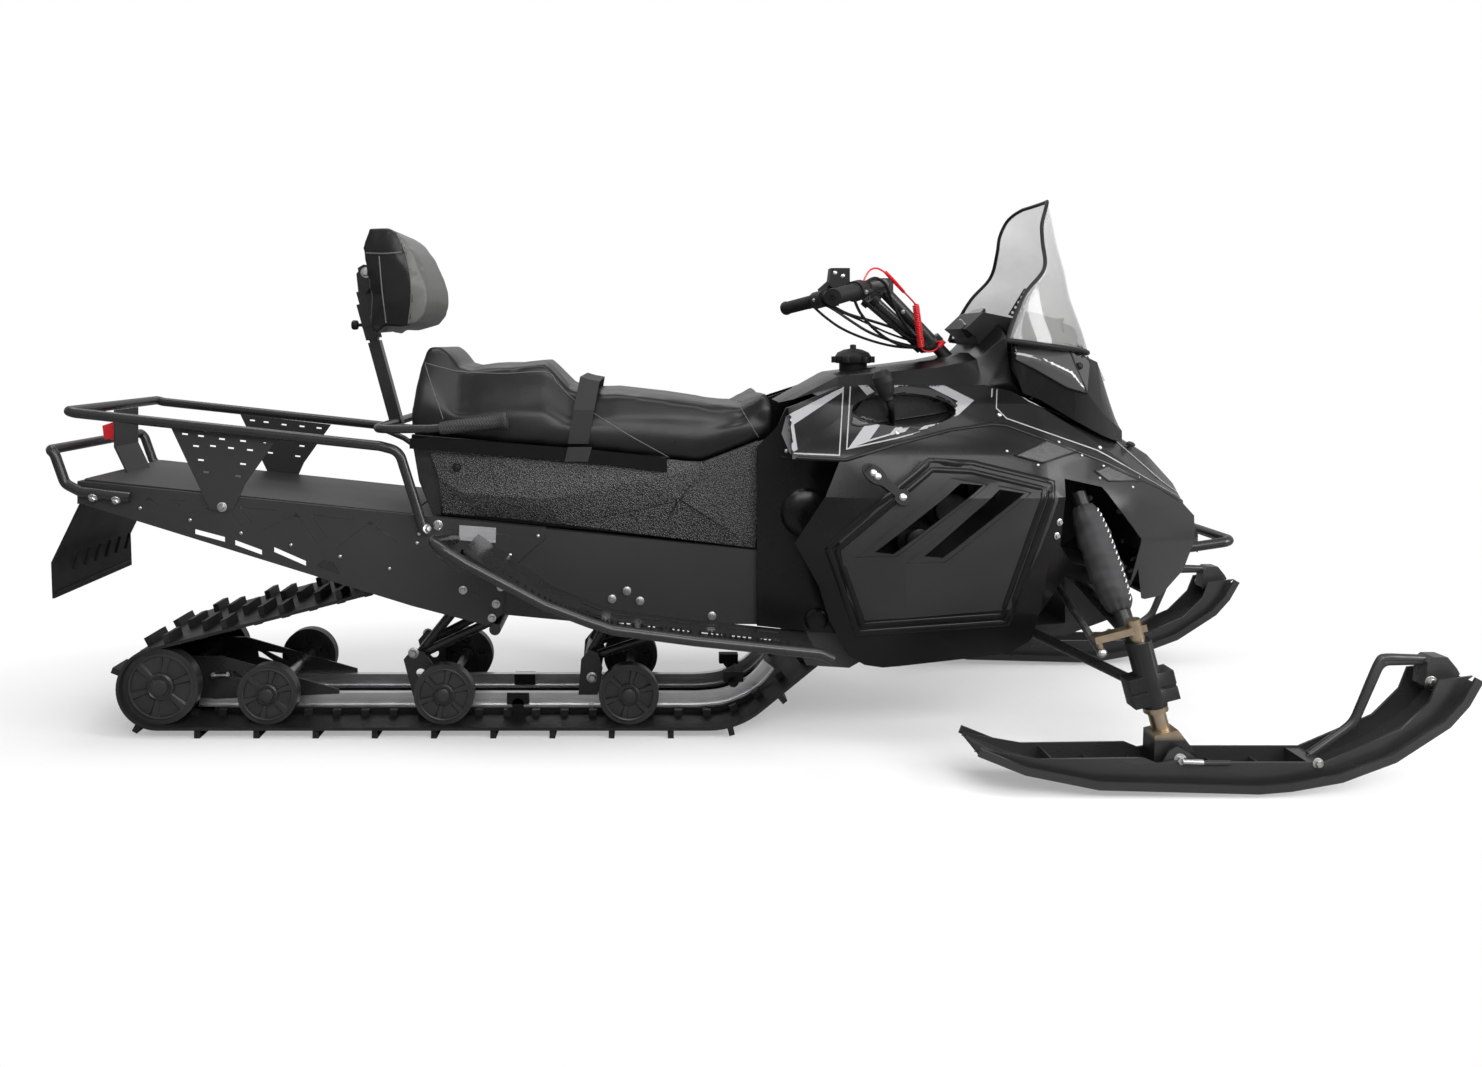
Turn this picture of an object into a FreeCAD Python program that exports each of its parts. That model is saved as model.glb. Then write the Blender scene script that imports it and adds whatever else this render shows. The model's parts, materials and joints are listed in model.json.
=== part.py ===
import FreeCAD, Part
import math
import os
from types import SimpleNamespace
from FreeCAD import Vector, Placement, Rotation

# Snowmobile with a long lugged track, two steered skis, a two-up seat with a
# backrest, a tubular rear rack and a louvred body. Front is +X, up is +Z and
# the right-hand side is -Y. The origin is on the ground under the middle.

# Driving sizes in millimetres
lengths = dict(
    half_length=1476.0, height=1210.0,
    tunnel_half=210.0, tunnel_wall=3.0, extension_wall=2.5,
    deck_thick=4.0, deck_half=200.0, deck_rib=3.0, deck_rib_wide=9.0,
    track_width=380.0, belt_thick=7.0, lug_height=20.0, lug_long=13.0, lug_sink=2.0,
    lug_pitch=64.0, lug_outer_wide=70.0, lug_middle_wide=90.0, lug_gap=16.0,
    drive_lug_long=18.0, drive_lug_wide=12.0, drive_lug_high=14.0, drive_lug_offset=107.0,
    bogie_radius=67.5, idler_radius=85.0, carrier_radius=60.0, drive_radius=81.0,
    nose_radius=180.0, wheel_wide=28.0, wheel_offset=158.0, wheel_gap=0.3,
    wheel_rim=13.0, wheel_web=7.0, wheel_hub=20.0, skid_axle_radius=10.0,
    axle_half=176.0, drive_axle_radius=19.0, sprocket_wide=22.0, sprocket_offset=88.0,
    rail_offset=74.0, rail_thick=12.0, slider_high=12.0, slider_wide=30.0,
    arm_tube_radius=13.0, arm_half=60.0, skid_shock_radius=24.0,
    board_inner=212.5, board_half=415.0, board_thick=3.0, board_flange=25.0,
    board_hole_long=46.0, board_hole_wide=20.0, board_hole_pitch=64.0,
    frame_tube_radius=11.0, frame_bend=60.0, small_bend=26.0,
    rack_plate_thick=4.0, rack_slot_high=4.0,
    flap_thick=5.0, flap_half=190.0,
    seat_half=190.0, seat_top_half=132.0, seat_box_half=190.0, seat_gap=0.3,
    strap_thick=2.5, seat_bar_thick=8.0,
    grab_radius=10.0, grab_half=232.0, grab_grip_radius=15.0,
    post_wide=28.0, mast_wide=20.0, mast_gap=0.3, post_long=205.0, mast_long=330.0,
    sleeve_wide=32.0, sleeve_start=212.0, sleeve_long=88.0,
    cheek_thick=4.0, cheek_radius=15.0, cheek_gap=0.5, pivot_pin_radius=5.0, pin_gap=0.05,
    pad_half=145.0, pad_plate_thick=5.0,
    shell_wall=5.0, cowl_half=355.0, cover_thick=9.0, cover_gap=0.3,
    engine_long=250.0, engine_wide=330.0, engine_high=320.0,
    console_half=150.0, tub_wall=3.0, tub_floor_half=206.0, footwell_thick=9.0,
    cap_radius=43.0, cap_dome=25.0, cap_neck_radius=33.0, cap_lobe_radius=9.0,
    gear_rod_radius=7.0, gear_knob_radius=23.0, gear_knob_high=68.0, gear_half=264.0,
    screen_thick=3.0, strap_plate=2.0, strap_wide=16.0, strap_hole_radius=3.2, strap_hole_pitch=15.0,
    lamp_half=125.0, lamp_proud=4.0,
    bar_radius=11.0, grip_radius=18.0, grip_long=130.0, bar_half=380.0, grip_cap=3.0,
    riser_radius=15.0, riser_clear=0.5, ring_radius=24.0, ring_long=18.0,
    bar_clamp_long=46.0, bar_clamp_wide=60.0, bar_clamp_high=34.0,
    switch_long=40.0, lever_high=12.0, reservoir_wide=46.0,
    cable_radius=3.5, cord_radius=2.5, coil_radius=8.5, clip_wide=9.0, sleeve_radius=4.5,
    ski_stance=900.0, ski_half=70.0, ski_base=6.0, ski_rim=10.0, keel_half=10.0,
    ski_wall=5.0, ski_wall_offset=45.0, ski_rib_high=24.0, ski_rib_thick=4.0, ski_pin_radius=7.0,
    kingpin_radius=14.0, kingpin_gap=0.05, housing_radius=25.0, housing_start=32.0,
    housing_end=165.0, wing_half=22.0, wing_long=59.0, wing_out=46.0, leg_radius=17.0, leg_long=87.0,
    collar_radius=24.0, collar_long=10.0, king_over=12.0, arm_drop=8.0, arm_root=20.0,
    steer_arm_long=76.0, steer_arm_wide=24.0, steer_arm_thick=14.0, stem_long=13.0,
    clevis_half=26.0, clevis_start=49.0, clevis_front=34.0, clevis_back=50.0, clevis_drop=18.0,
    ball_radius=10.0, tie_radius=8.0, suspension_tube_radius=11.0, arm_eye_offset=12.0,
    shock_radius=16.0, cover_radius=37.0, bulkhead_half=150.0,
    loop_radius=8.0, cut_extra=20.0,
)

doc = FreeCAD.newDocument("snowmobile")
sheet = doc.addObject("Spreadsheet::Sheet", "sizes")
for row, (name, value) in enumerate(lengths.items(), start=1):
    sheet.set("A%d" % row, name)
    sheet.set("B%d" % row, repr(value))
    sheet.setAlias("B%d" % row, name)
doc.recompute()
s = SimpleNamespace(**{name: float(sheet.get(name)) for name in lengths})

NODES = []


# Outlines and places are shares of the half length (along X) and of the height (along Z)
def at(share, y=0.0):
    return Vector(share[0] * s.half_length, y, share[1] * s.height)


def place_list(shares, y=0.0):
    return [at(p, y) for p in shares]


def prism(points, y_low, y_high):
    corners = [Vector(p.x, y_low, p.z) for p in points]
    face = Part.Face(Part.makePolygon(corners + corners[:1]))
    return face.extrude(Vector(0, y_high - y_low, 0))


def across(points, half):
    return prism(points, -half, half)


def along_x(pairs, x_low, x_high):
    corners = [Vector(x_low, y, z) for y, z in pairs]
    face = Part.Face(Part.makePolygon(corners + corners[:1]))
    return face.extrude(Vector(x_high - x_low, 0, 0))


def band(points, thick):
    # a sheet of constant thickness below a chain of points
    lower = []
    for i, p in enumerate(points):
        a = points[max(i - 1, 0)]
        b = points[min(i + 1, len(points) - 1)]
        d = (b - a).normalize()
        n = Vector(d.z, 0, -d.x)
        lower.append(p + n * thick)
    return list(points) + lower[::-1]


def grown(points, gap):
    # a closed outline moved outwards by a gap, corner by corner
    area = sum(a.x * b.z - b.x * a.z for a, b in zip(points, points[1:] + points[:1]))
    turn = 1 if area > 0 else -1
    moved = []
    for i, b in enumerate(points):
        u = (b - points[i - 1]).normalize()
        w = (points[(i + 1) % len(points)] - b).normalize()
        n, m = Vector(u.z, 0, -u.x) * turn, Vector(w.z, 0, -w.x) * turn
        moved.append(b + (n + m) * (gap / (1 + n.dot(m))))
    return moved


def height_on(points, x):
    # the height of a chain of points at a place along X
    for a, b in zip(points, points[1:]):
        if a.x <= x <= b.x:
            return a.z + (b.z - a.z) * (x - a.x) / (b.x - a.x)
    return points[-1].z


def turned(profile, foot, axis):
    # a profile of (radius, height) pairs revolved about an axis that starts at a foot
    corners = [Vector(r, 0, h) for r, h in profile]
    solid = Part.Face(Part.makePolygon(corners + corners[:1])).revolve(Vector(0, 0, 0), Vector(0, 0, 1), 360)
    solid.Placement = Placement(foot, Rotation(Vector(0, 0, 1), axis))
    return solid


def plan(points, z_low, z_high):
    corners = [Vector(p.x, p.y, z_low) for p in points]
    return Part.Face(Part.makePolygon(corners + corners[:1])).extrude(Vector(0, 0, z_high - z_low))


def half_section_loft(stations, wide, extra=0.0, ruled=True):
    # rings of (share of a width, share of the height) mirrored about the middle, one at each share of the length
    rings = []
    for x_share, section in stations:
        right = [Vector(x_share * s.half_length, -max(a * wide + extra, 0.0), b * s.height + (extra if i else 0.0)) for i, (a, b) in enumerate(section)]
        left = [Vector(p.x, -p.y, p.z) for p in right[::-1] if p.y < 0]
        rings.append(Part.makePolygon(right + left + right[:1]))
    return loft(rings, ruled)


def strip(a, b, wide, thick):
    # a flat bar from a to b, its width in the side plane and its thickness outwards
    along = (b - a).normalize()
    across_it = Vector(along.z, 0, -along.x).normalize()
    out = across_it.cross(along).normalize()
    if out.y > 0:
        out = out * -1
    corners = [a - across_it * (wide / 2), a + across_it * (wide / 2), b + across_it * (wide / 2), b - across_it * (wide / 2)]
    return Part.Face(Part.makePolygon(corners + corners[:1])).extrude(out * thick), out


def largest(shape):
    return max(shape.Solids, key=lambda x: x.Volume)


def oval(centre, half, count=24):
    turns = [2 * math.pi * i / count for i in range(count)]
    return [centre + Vector(half.x * math.cos(a), 0, half.z * math.sin(a)) for a in turns]


def rounded_path(points, bend):
    # straight runs joined by tangent arcs
    edges = []
    start = points[0]
    for i in range(1, len(points) - 1):
        a, b, c = points[i - 1], points[i], points[i + 1]
        u = (a - b).normalize()
        w = (c - b).normalize()
        turn = math.pi - math.acos(max(-1.0, min(1.0, u.dot(w))))
        if turn < math.radians(0.5):
            continue
        room = min((a - b).Length, (c - b).Length) * 0.45
        radius = min(bend, room / math.tan(turn / 2))
        reach = radius * math.tan(turn / 2)
        p0, p1 = b + u * reach, b + w * reach
        middle = (u + w).normalize()
        centre = b + middle * (radius / math.cos(turn / 2))
        pm = centre - middle * radius
        if (p0 - start).Length > 1e-6:
            edges.append(Part.LineSegment(start, p0).toShape())
        edges.append(Part.Arc(p0, pm, p1).toShape())
        start = p1
    edges.append(Part.LineSegment(start, points[-1]).toShape())
    return Part.Wire(edges)


def tube(points, radius, bend):
    path = rounded_path(points, bend)
    d = (points[1] - points[0]).normalize()
    circle = Part.Wire(Part.makeCircle(radius, points[0], d))
    return path.makePipeShell([circle], True, True)


def rod(a, b, radius):
    return Part.makeCylinder(radius, (b - a).Length, a, b - a)


def mirrored(shape):
    return shape.mirror(Vector(0, 0, 0), Vector(0, 1, 0))


def both(shape):
    return Part.makeCompound([shape, mirrored(shape)])


def loft(wires, ruled=True):
    return Part.makeLoft(wires, True, ruled)


def node(label, shape):
    obj = doc.addObject("Part::Feature", label)
    obj.Label = label
    obj.Shape = shape
    obj.Placement = Placement()
    NODES.append(obj)
    return obj


def sketch_pad(label, outlines, y, length_formula, circles=()):
    # a sketched side profile padded symmetrically about the plane at y
    body = doc.addObject("PartDesign::Body", label + "_body")
    plane = [f for f in body.Origin.OriginFeatures if f.Role == "XZ_Plane"][0]
    sketch = body.newObject("Sketcher::SketchObject", label + "_sketch")
    sketch.AttachmentSupport = [(plane, "")]
    sketch.MapMode = "FlatFace"
    for outline in outlines:
        flat = [Vector(p.x, p.z, 0) for p in outline]
        sketch.addGeometry([Part.LineSegment(flat[i], flat[(i + 1) % len(flat)]) for i in range(len(flat))], False)
    for centre, radius in circles:
        sketch.addGeometry(Part.Circle(Vector(centre.x, centre.z, 0), Vector(0, 0, 1), radius), False)
    pad = body.newObject("PartDesign::Pad", label + "_pad")
    pad.Profile = sketch
    pad.SideType = "Symmetric"
    pad.setExpression("Length", length_formula)
    body.Placement = Placement(Vector(0, y, 0), Rotation())
    doc.recompute()
    return body


def keep(label, obj):
    obj.Label = label
    NODES.append(obj)
    return obj


def cut_object(label, base, tool):
    obj = doc.addObject("Part::Cut", label)
    obj.Base = base
    obj.Tool = tool
    doc.recompute()
    return obj


def pair_object(label, one):
    twin = doc.addObject("Part::Mirroring", label + "_twin")
    twin.Source = one
    twin.Base = (0, 0, 0)
    twin.Normal = (0, 1, 0)
    group = doc.addObject("Part::Compound", label)
    group.Links = [one, twin]
    doc.recompute()
    return group


# Tunnel and its rear extension
top_line_shares = [(-0.9526, 0.4789), (-0.2514, 0.3925), (0.2385, 0.3321)]
tunnel_side_shares = [(-0.3794, 0.4062), (0.2385, 0.3301), (0.2385, 0.1620), (0.2033, 0.1372), (0.1389, 0.1421), (0.1084, 0.2165), (-0.1883, 0.2198), (-0.3157, 0.2347), (-0.3794, 0.2479)]
extension_side_shares = [(-0.9526, 0.4789), (-0.2514, 0.3925), (-0.2527, 0.3760), (-0.2981, 0.3248), (-0.3096, 0.3008), (-0.3157, 0.2364), (-0.3388, 0.2149), (-0.4526, 0.2512), (-0.9526, 0.4397)]
extension_slot_shares = [[(-0.7765, 0.3913), (-0.7316, 0.3767), (-0.7316, 0.3676), (-0.7765, 0.3822)], [(-0.7166, 0.3713), (-0.6762, 0.3530), (-0.6762, 0.3439), (-0.7166, 0.3621)], [(-0.6582, 0.3585), (-0.6103, 0.3329), (-0.6103, 0.3238), (-0.6582, 0.3493)]]

outline = place_list(tunnel_side_shares)
hollow = [outline[0] + Vector(-s.cut_extra, 0, -s.tunnel_wall), outline[1] + Vector(-s.tunnel_wall, 0, -s.tunnel_wall),
          outline[2] + Vector(-s.tunnel_wall, 0, -2 * s.cut_extra), outline[3] + Vector(0, 0, -2 * s.cut_extra),
          outline[4] + Vector(0, 0, -2 * s.cut_extra), outline[5] + Vector(0, 0, -2 * s.cut_extra),
          outline[8] + Vector(-s.cut_extra, 0, -2 * s.cut_extra)]
tunnel_outer = sketch_pad("tunnel_outer", [outline], 0, "2 * sizes.tunnel_half")
tunnel_inner = sketch_pad("tunnel_inner", [hollow], 0, "2 * (sizes.tunnel_half - sizes.tunnel_wall)")
tunnel = keep("tunnel", cut_object("tunnel", tunnel_outer, tunnel_inner))

extension_outline = place_list(extension_side_shares)
extension_outer = sketch_pad("extension_outer", [extension_outline], 0, "2 * (sizes.tunnel_half + sizes.extension_wall)")
drop = Vector(0, 0, -s.extension_wall)


def deck_at(x, up=0.0):
    # a point on the sloping top of the extension, carried on forwards
    a, b = extension_outline[0], extension_outline[1]
    return Vector(x, 0, a.z + (x - a.x) * (b.z - a.z) / (b.x - a.x) + up)


extension_hollow = [extension_outline[0] + drop + Vector(-s.cut_extra, 0, 0), extension_outline[1] + drop + Vector(s.cut_extra, 0, 0),
                    extension_outline[5] + Vector(s.half_length, 0, -s.half_length) * 0.2, extension_outline[8] + Vector(-s.cut_extra, 0, -s.half_length * 0.2)]
extension_inner = sketch_pad("extension_inner", [extension_hollow], 0, "2 * sizes.tunnel_half")
extension_open = cut_object("extension_open", extension_outer, extension_inner)
extension_slots = sketch_pad("extension_slots", [place_list(o) for o in extension_slot_shares], 0, "4 * sizes.tunnel_half")
extension_channel = cut_object("extension_channel", extension_open, extension_slots)
end_shares = [(-0.9526, 0.4770), (-0.9509, 0.4770), (-0.9509, 0.4372), (-0.9526, 0.4372)]
end_plate = sketch_pad("extension_end", [place_list(end_shares)], 0, "2 * (sizes.tunnel_half + sizes.extension_wall)")
extension_all = doc.addObject("Part::Fuse", "tunnel_extension")
extension_all.Base = extension_channel
extension_all.Tool = end_plate
doc.recompute()
extension = keep("tunnel_extension", extension_all)

# Ribbed deck skin on the extension
deck_shares = [(-0.9458, 0.4781), (-0.4553, 0.4176)]
deck_line = [deck_at(p.x) for p in place_list(deck_shares)]
deck_up = Vector(0, 0, s.deck_thick)
deck = across([deck_line[0], deck_line[1], deck_line[1] + deck_up, deck_line[0] + deck_up], s.deck_half)
rib_shares = [(-0.9146, 0.4736), (-0.4675, 0.4190)]
rib_low = [deck_at(p.x) for p in place_list(rib_shares)]
rib_up = Vector(0, 0, s.deck_thick + s.deck_rib)
ribs = []
rib_count = 7
for i in range(rib_count):
    y = -s.deck_half + (i + 0.5) * 2 * s.deck_half / rib_count
    ribs.append(prism([rib_low[0], rib_low[1], rib_low[1] + rib_up, rib_low[0] + rib_up], y - s.deck_rib_wide / 2, y + s.deck_rib_wide / 2))
node("rear_deck", deck.multiFuse(ribs).removeSplitter())

# Snow flap
flap_shares = [(-0.9560, 0.4760), (-0.9560, 0.4380), (-1.0000, 0.3264), (-0.9980, 0.2603)]
flap_points = place_list(flap_shares)
shift = Vector(s.flap_thick, 0, 0)
node("snow_flap", across(flap_points + [p + shift for p in flap_points[::-1]], s.flap_half))

# Track: belt, ground lugs, drive lugs and clips
places_shares = dict(
    idler=(-0.8401, 0.0928), bogie_rear=(-0.6775, 0.0783), bogie_middle=(-0.4092, 0.0783), bogie_front=(-0.1274, 0.0783),
    carrier=(-0.3252, 0.2752), drive=(0.1524, 0.2240), nose=(-0.0068, 0.1711))
place = {name: at(p) for name, p in places_shares.items()}
belt_inside = s.lug_height + s.belt_thick
place["idler"].z = belt_inside + s.idler_radius + s.wheel_gap
for name in ("bogie_rear", "bogie_middle", "bogie_front"):
    place[name].z = belt_inside + s.bogie_radius + s.wheel_gap
place["nose"].z = belt_inside + s.nose_radius
track_circles = [(place["idler"], s.idler_radius + s.wheel_gap), (place["nose"], s.nose_radius),
                 (place["drive"], s.drive_radius), (place["carrier"], s.carrier_radius + s.wheel_gap)]


def loop_runs(extra):
    runs = []
    count = len(track_circles)
    normals = []
    for i in range(count):
        ci, ri = track_circles[i]
        cj, rj = track_circles[(i + 1) % count]
        u = Vector(cj.x - ci.x, 0, cj.z - ci.z)
        far = u.Length
        u.normalize()
        right = Vector(u.z, 0, -u.x)
        a = (ri - rj) / far
        normals.append(u * a + right * math.sqrt(1 - a * a))
    for i in range(count):
        ci, ri = track_circles[i]
        cj, rj = track_circles[(i + 1) % count]
        n = normals[i]
        m = normals[(i + 1) % count]
        p = Vector(ci.x, 0, ci.z) + n * (ri + extra)
        q = Vector(cj.x, 0, cj.z) + n * (rj + extra)
        runs.append(("line", p, q))
        a0 = math.atan2(n.z, n.x)
        a1 = math.atan2(m.z, m.x)
        while a1 < a0:
            a1 += 2 * math.pi
        runs.append(("arc", Vector(cj.x, 0, cj.z), rj + extra, a0, a1))
    return runs


def run_length(run):
    return (run[2] - run[1]).Length if run[0] == "line" else run[2] * (run[4] - run[3])


def run_point(run, t):
    if run[0] == "line":
        d = (run[2] - run[1]).normalize()
        return run[1] + d * t, Vector(d.z, 0, -d.x)
    angle = run[3] + t / run[2]
    n = Vector(math.cos(angle), 0, math.sin(angle))
    return run[1] + n * run[2], n


def loop_face(extra):
    edges = []
    for run in loop_runs(extra):
        if run[0] == "line":
            edges.append(Part.LineSegment(run[1], run[2]).toShape())
        else:
            ends = [run_point(run, f * run_length(run))[0] for f in (0, 0.5, 1)]
            edges.append(Part.Arc(*ends).toShape())
    return Part.Face(Part.Wire(edges))


def spread_along(extra, count, offset=0.0):
    runs = loop_runs(extra)
    total = sum(run_length(r) for r in runs)
    spots = []
    for i in range(count):
        t = (i + offset) * total / count
        for r in runs:
            if t <= run_length(r):
                spots.append(run_point(r, t))
                break
            t -= run_length(r)
    return spots


def block_at(point, normal, y, long, wide, low, high):
    tangent = Vector(-normal.z, 0, normal.x)
    corners = [point + tangent * a + normal * b for a, b in ((-long / 2, low), (long / 2, low), (long / 2, high), (-long / 2, high))]
    return prism(corners, y - wide / 2, y + wide / 2)


half_track = s.track_width / 2
belt = loop_face(s.belt_thick).cut(loop_face(0)).Faces[0]
belt = belt.extrude(Vector(0, s.track_width, 0))
belt.translate(Vector(0, -half_track, 0))
track_length = sum(run_length(r) for r in loop_runs(s.belt_thick))
lug_rows = 2 * int(track_length / s.lug_pitch / 2)
pieces = []
for i, (p, n) in enumerate(spread_along(s.belt_thick, lug_rows, 0.3)):
    if i % 2:
        columns = [(-half_track + s.lug_outer_wide / 2 + s.lug_gap / 2, s.lug_outer_wide), (0, s.lug_middle_wide),
                   (half_track - s.lug_outer_wide / 2 - s.lug_gap / 2, s.lug_outer_wide)]
    else:
        columns = [(-half_track * 0.42, s.lug_middle_wide), (half_track * 0.42, s.lug_middle_wide)]
    for y, wide in columns:
        pieces.append(block_at(p, n, y, s.lug_long, wide, -s.lug_sink, s.lug_height))
for p, n in spread_along(0, lug_rows, 0.8):
    for side in (-1, 1):
        pieces.append(block_at(p, n, side * s.drive_lug_offset, s.drive_lug_long, s.drive_lug_wide, -s.drive_lug_high, s.lug_sink))
node("track", belt.multiFuse(pieces))


# Slide rails, wheels and axles inside the track
def wheel(centre, radius, y, bore, holes=5):
    w = s.wheel_wide / 2
    web = s.wheel_web / 2
    rim = radius - s.wheel_rim
    hub = s.wheel_hub
    profile = [(bore, -w), (hub, -w), (hub, -web), (rim, -web), (rim, -w), (radius, -w), (radius, w), (rim, w), (rim, web), (hub, web), (hub, w), (bore, w)]
    corners = [Vector(centre.x + r, y + t, centre.z) for r, t in profile]
    face = Part.Face(Part.makePolygon(corners + corners[:1]))
    solid = face.revolve(Vector(centre.x, y, centre.z), Vector(0, 1, 0), 360)
    hole = (rim - hub) * 0.3
    ring = (rim + hub) / 2
    cuts = []
    for k in range(holes):
        a = 2 * math.pi * k / holes + 0.3
        cuts.append(Part.makeCylinder(hole, s.wheel_wide, Vector(centre.x + ring * math.cos(a), y - w, centre.z + ring * math.sin(a)), Vector(0, 1, 0)))
    return solid.cut(Part.makeCompound(cuts))


wheels = []
axles = []
for name in ("bogie_rear", "bogie_middle", "bogie_front"):
    c = place[name]
    wheels += [wheel(c, s.bogie_radius, side * s.wheel_offset, s.skid_axle_radius) for side in (-1, 1)]
    axles.append(Part.makeCylinder(s.skid_axle_radius, 2 * s.axle_half, Vector(c.x, -s.axle_half, c.z), Vector(0, 1, 0)))
c = place["carrier"]
wheels += [wheel(c, s.carrier_radius, side * s.wheel_offset, s.skid_axle_radius) for side in (-1, 1)]
carrier_axle = Part.makeCylinder(s.skid_axle_radius, 2 * s.axle_half, Vector(c.x, -s.axle_half, c.z), Vector(0, 1, 0))
c = place["idler"]
wheels += [wheel(c, s.idler_radius, side * s.wheel_offset, s.skid_axle_radius, 6) for side in (-1, 1)]
node("skid_wheels", Part.makeCompound(wheels))
rear_axle = Part.makeCylinder(s.skid_axle_radius, 2 * s.axle_half, Vector(c.x, -s.axle_half, c.z), Vector(0, 1, 0))
axles.append(rear_axle)
node("skid_axles", Part.makeCompound(axles + [carrier_axle]))

rail_shares = [(-0.8550, 0.1107), (-0.8550, 0.0744), (-0.8164, 0.0512), (-0.7791, 0.0325), (-0.7656, 0.0325), (-0.0068, 0.0325), (0.0203, 0.0368), (0.0515, 0.0512), (0.0718, 0.0661), (0.1030, 0.1058), (0.0989, 0.1240), (0.0407, 0.0893), (0.0068, 0.0645), (-0.0881, 0.0579), (-0.1084, 0.0959), (-0.1463, 0.0959), (-0.1667, 0.0579), (-0.3794, 0.0579), (-0.3902, 0.0959), (-0.4282, 0.0959), (-0.4743, 0.1041), (-0.5352, 0.1694), (-0.5637, 0.1694), (-0.6775, 0.1289), (-0.7588, 0.1157)]
rail_points = place_list(rail_shares)
boss = 2.2 * s.skid_axle_radius
rail_low = belt_inside + s.slider_high + s.wheel_gap
for i, z in ((0, place["idler"].z + boss), (1, place["idler"].z - boss), (3, rail_low), (4, rail_low), (5, rail_low),
             (14, place["bogie_front"].z + boss), (15, place["bogie_front"].z + boss),
             (18, place["bogie_middle"].z + boss), (19, place["bogie_middle"].z + boss)):
    rail_points[i].z = z
rail_hole_shares = [[(-0.6504, 0.1157), (-0.5759, 0.1455), (-0.5759, 0.0694), (-0.6436, 0.0579)], [(-0.5623, 0.1488), (-0.5420, 0.1488), (-0.4878, 0.0860), (-0.5623, 0.0694)], [(-0.7995, 0.0992), (-0.7182, 0.1091), (-0.7182, 0.0661), (-0.7791, 0.0595)]]
rail_body = sketch_pad("rail_plate", [rail_points] + [place_list(o) for o in rail_hole_shares], -s.rail_offset, "sizes.rail_thick",
                       [(place[n], s.skid_axle_radius) for n in ("bogie_rear", "bogie_middle", "bogie_front", "idler")])
slide_rails = keep("slide_rails", pair_object("slide_rails", rail_body))
slider_shares = [(-0.7791, 0.0325), (-0.0068, 0.0325), (0.0203, 0.0368), (0.0515, 0.0512), (0.0718, 0.0661)]
slider_line = place_list(slider_shares)
slider_line[0].z = slider_line[1].z = rail_low
slider = prism(band(slider_line, s.slider_high), -s.rail_offset - s.slider_wide / 2, -s.rail_offset + s.slider_wide / 2)
slider = slider.common(loop_face(-s.wheel_gap).extrude(Vector(0, -s.track_width, 0)))
node("rail_sliders", both(slider))

# Skid arms and shocks between the rails and the tunnel
arm_shares = dict(front_top=(-0.1287, 0.2628), front_low=(-0.1978, 0.0893), rear_top=(-0.3279, 0.2066), rear_low=(-0.4580, 0.0760))
arm = {name: at(p) for name, p in arm_shares.items()}
rail_inner = s.rail_offset - s.rail_thick / 2
arm_solids = []
for end in ("front", "rear"):
    top, low = arm[end + "_top"], arm[end + "_low"]
    cross_top = rod(Vector(top.x, -s.tunnel_half + s.tunnel_wall, top.z), Vector(top.x, s.tunnel_half - s.tunnel_wall, top.z), s.arm_tube_radius)
    cross_low = rod(Vector(low.x, -rail_inner, low.z), Vector(low.x, rail_inner, low.z), s.arm_tube_radius)
    spot = low + (top - low) * (0.36 if end == "front" else 0.34)
    mid = rod(Vector(spot.x, -s.arm_half * 0.8, spot.z), Vector(spot.x, s.arm_half * 0.8, spot.z), s.arm_tube_radius)
    legs = [rod(Vector(top.x, side * s.arm_half, top.z), Vector(low.x, side * s.arm_half * 0.7, low.z), s.arm_tube_radius * 0.8) for side in (-1, 1)]
    arm_solids.append(cross_top.multiFuse([cross_low, mid] + legs))
shock_ends = [arm[end + "_low"] + (arm[end + "_top"] - arm[end + "_low"]) * share for end, share in (("front", 0.36), ("rear", 0.34))]
skid_shock = rod(shock_ends[0], shock_ends[1], s.skid_shock_radius)
spring_half = (shock_ends[1] - shock_ends[0]) * 0.25
spring_middle = (shock_ends[0] + shock_ends[1]) * 0.5
skid_spring = rod(spring_middle - spring_half, spring_middle + spring_half, s.skid_shock_radius * 1.4)
node("skid_arms", arm_solids[0].multiFuse([arm_solids[1], skid_shock, skid_spring]))

# Drive axle with its two toothed wheels
c = place["drive"]
drive_axle = Part.makeCylinder(s.drive_axle_radius, 2 * (s.tunnel_half - s.tunnel_wall), Vector(c.x, -s.tunnel_half + s.tunnel_wall, c.z), Vector(0, 1, 0))
sprockets = []
teeth = 8
for side in (-1, 1):
    disc = Part.makeCylinder(s.drive_radius - s.drive_lug_high, s.sprocket_wide, Vector(c.x, side * s.sprocket_offset - s.sprocket_wide / 2, c.z), Vector(0, 1, 0))
    bars = []
    for k in range(teeth):
        a = 2 * math.pi * k / teeth
        n = Vector(math.cos(a), 0, math.sin(a))
        bars.append(block_at(c, n, side * s.sprocket_offset, s.lug_long, s.sprocket_wide, s.drive_axle_radius * 1.5, s.drive_radius - s.wheel_gap))
    sprockets.append(disc.multiFuse(bars))
node("drive_axle", drive_axle.multiFuse(sprockets))

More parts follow.
